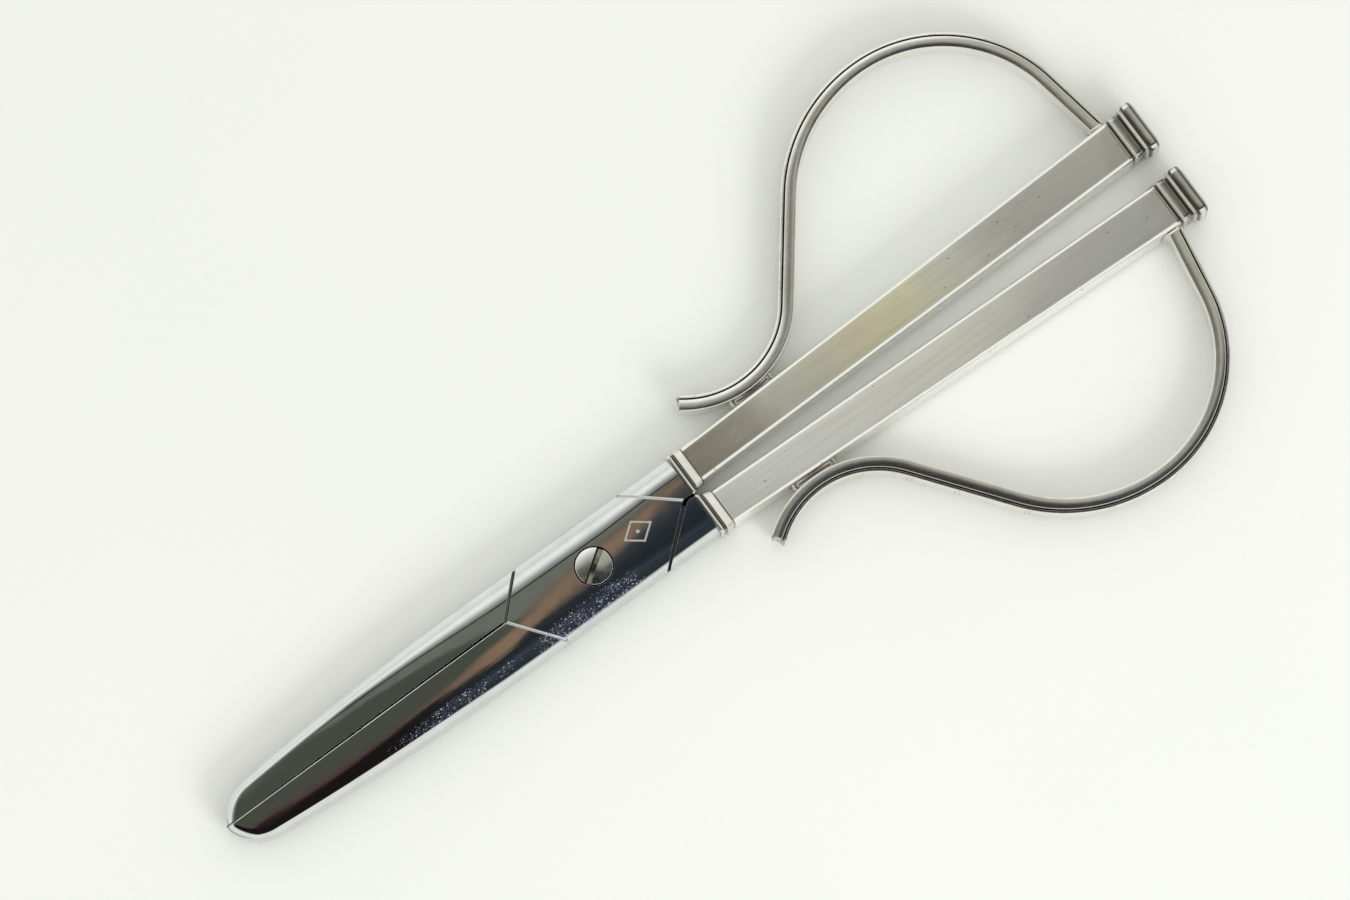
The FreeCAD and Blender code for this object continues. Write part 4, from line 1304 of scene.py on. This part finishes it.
def world():
    """A bright tent with a dark opening overhead, where someone in navy leans over the table."""
    studio = bpy.data.worlds.new("studio")
    bpy.context.scene.world = studio
    studio.use_nodes = True
    n = Nodes(studio.node_tree)
    background = studio.node_tree.nodes["Background"]
    direction = n.add("ShaderNodeTexCoord").outputs["Generated"]
    dx, dy, dz = n.parts(direction)
    flutter = n.noise(direction, 9.0, 3.0)
    lean_x = n.product(n.math("ARCTAN2", dx, dz), math.degrees(1))
    lean_y = n.total(n.product(n.math("ARCTAN2", dy, dz), math.degrees(1)),
                     n.product(n.math("SUBTRACT", flutter, 0.5), 0.8))

    # the zones' edges as lean along y against lean along x
    edges = []
    spots = [mirrored(zone[0], 0)[0] for zone in ZONES]
    low, high = spots[0], spots[-1]
    floor_y, ceiling_y = 0.0, 20.0
    for column in (1, 2, 3):
        stops = [(spot, (mirrored(zone[0], zone[column])[1] - floor_y) / (ceiling_y - floor_y))
                 for spot, zone in zip(spots, ZONES)]
        edges.append(n.product(n.curve(lean_x, low, high, stops), ceiling_y))
    dark_edge, warm_top, light_bottom = edges

    tip_share = n.step(lean_x, spots[4], spots[9], 1.0, 0.0)
    navy = n.mix(n.step(n.noise(direction, 5.0, 3.0), 0.35, 0.7), rgb(0.022, 0.028, 0.036),
                 rgb(0.05, 0.062, 0.085))
    dark = n.mix(tip_share, navy, rgb(0.014, 0.010, 0.011))
    warm = n.mix(tip_share, rgb(0.30, 0.195, 0.14), rgb(0.12, 0.06, 0.065))
    flat = n.mix(n.step(lean_y, light_bottom, n.total(light_bottom, 0.5)),
                 rgb(0.085, 0.092, 0.076), rgb(0.185, 0.195, 0.172))
    faded = n.step(lean_y, n.math("SUBTRACT", warm_top, 0.8), n.total(warm_top, 0.6))
    overhead = n.mix(faded, warm, flat)
    overhead = n.mix(n.step(lean_y, n.math("SUBTRACT", dark_edge, 0.15), n.total(dark_edge, 0.15)),
                     dark, overhead)

    # what the rolled shoulder above the flat shows: a thin dark line, then up into the light
    rise = n.curve(lean_y, 12.0, 62.0, [
        (12.0, 0.18), (13.3, 0.17), (14.0, 0.03), (15.0, 0.03), (15.8, 0.24), (18.5, 0.32), (22.7, 0.54),
        (27.0, 0.9), (31.0, 1.14), (35.0, 1.1), (40.0, 0.88), (45.0, 1.0), (55.0, 1.05), (62.0, 1.0)])
    overhead = n.mix(n.step(lean_y, 13.2, 13.8), overhead, rise)
    aside = n.mix(n.step(lean_x, 10.0, 32.0), rgb(0.50, 0.50, 0.445), rgb(0.36, 0.355, 0.30))
    aside = n.mix(n.step(lean_y, -2.0, 3.0), navy, aside)
    overhead = n.mix(n.product(n.step(lean_x, 7.0, 9.0), n.step(lean_y, 20.0, 14.0)), overhead, aside)
    tent = n.curve(dz, 0.0, 1.0, [(0.0, 0.75), (0.25, 0.88), (0.6, 1.0), (1.0, 0.98)])
    # darker walls stand at the two ends of the tent
    aside_x = n.product(dx, dx)
    ends = n.step(n.math("DIVIDE", aside_x, n.total(aside_x, n.product(dy, dy), 0.0001)), 0.35, 0.85)
    tent = n.mix(n.product(ends, n.step(dz, 0.66, 0.38)), tent, rgb(0.36, 0.365, 0.36))
    below = n.step(lean_y, -31.0, -26.0)
    left = n.step(lean_x, -27.0, -20.0)
    right = n.step(lean_x, 40.0, 30.0)
    above = n.step(lean_y, 62.0, 55.0)
    opening = n.product(below, left, right, above, n.step(dz, 0.0, 0.1))
    light = n.mix(opening, tent, overhead)
    cast = n.add("ShaderNodeVectorMath", operation="MULTIPLY")
    n.put(cast.inputs[0], light)
    cast.inputs[1].default_value = (0.985, 1.0, 0.955)
    # only mirrors see the painted surroundings; dull surfaces get an even tent
    glossy = n.add("ShaderNodeLightPath").outputs["Is Glossy Ray"]
    n.put(background.inputs[0], n.mix(glossy, rgb(0.86, 0.87, 0.835), cast.outputs[0]))
    background.inputs[1].default_value = 1.0


def area_light(name, place, aim, size, power):
    light = bpy.data.lights.new(name, "AREA")
    light.shape = "RECTANGLE"
    light.size, light.size_y = size
    light.energy = power
    thing = linked(name, light)
    thing.location = place
    thing.rotation_euler = (Vector(aim) - Vector(place)).to_track_quat("-Z", "Y").to_euler()
    thing.visible_glossy = False


def floor():
    n = Surface("pale_paper")
    grain = n.noise(n.coords(), 0.6, 3.0)
    mottle = n.noise(n.coords(), 0.012, 2.0)
    tone = n.mix(grain, rgb(0.86, 0.875, 0.845), rgb(0.88, 0.89, 0.86))
    tone = n.mix(n.step(mottle, 0.3, 0.7, 0.0, 0.5), tone, rgb(0.91, 0.91, 0.89))
    n.set(Base_Color=tone, Roughness=0.8)
    n.put(n.shader.inputs["Specular IOR Level"], 0.2)
    size, height = 3.0, -0.1 * MM
    mesh = bpy.data.meshes.new("floor")
    corners = [(x * size, y * size, height) for x, y in ((-1, -1), (1, -1), (1, 1), (-1, 1))]
    mesh.from_pydata(corners, [], [(0, 1, 2, 3)])
    mesh.materials.append(n.material)
    linked("floor", mesh)


floor()
world()
area_light("key", (0.05, -0.88, 0.52), (0.02, 0.0, 0), (0.5, 0.4), 3.9)
place_camera()
bpy.context.scene.view_settings.view_transform = "Standard"

bpy.context.view_layer.update()
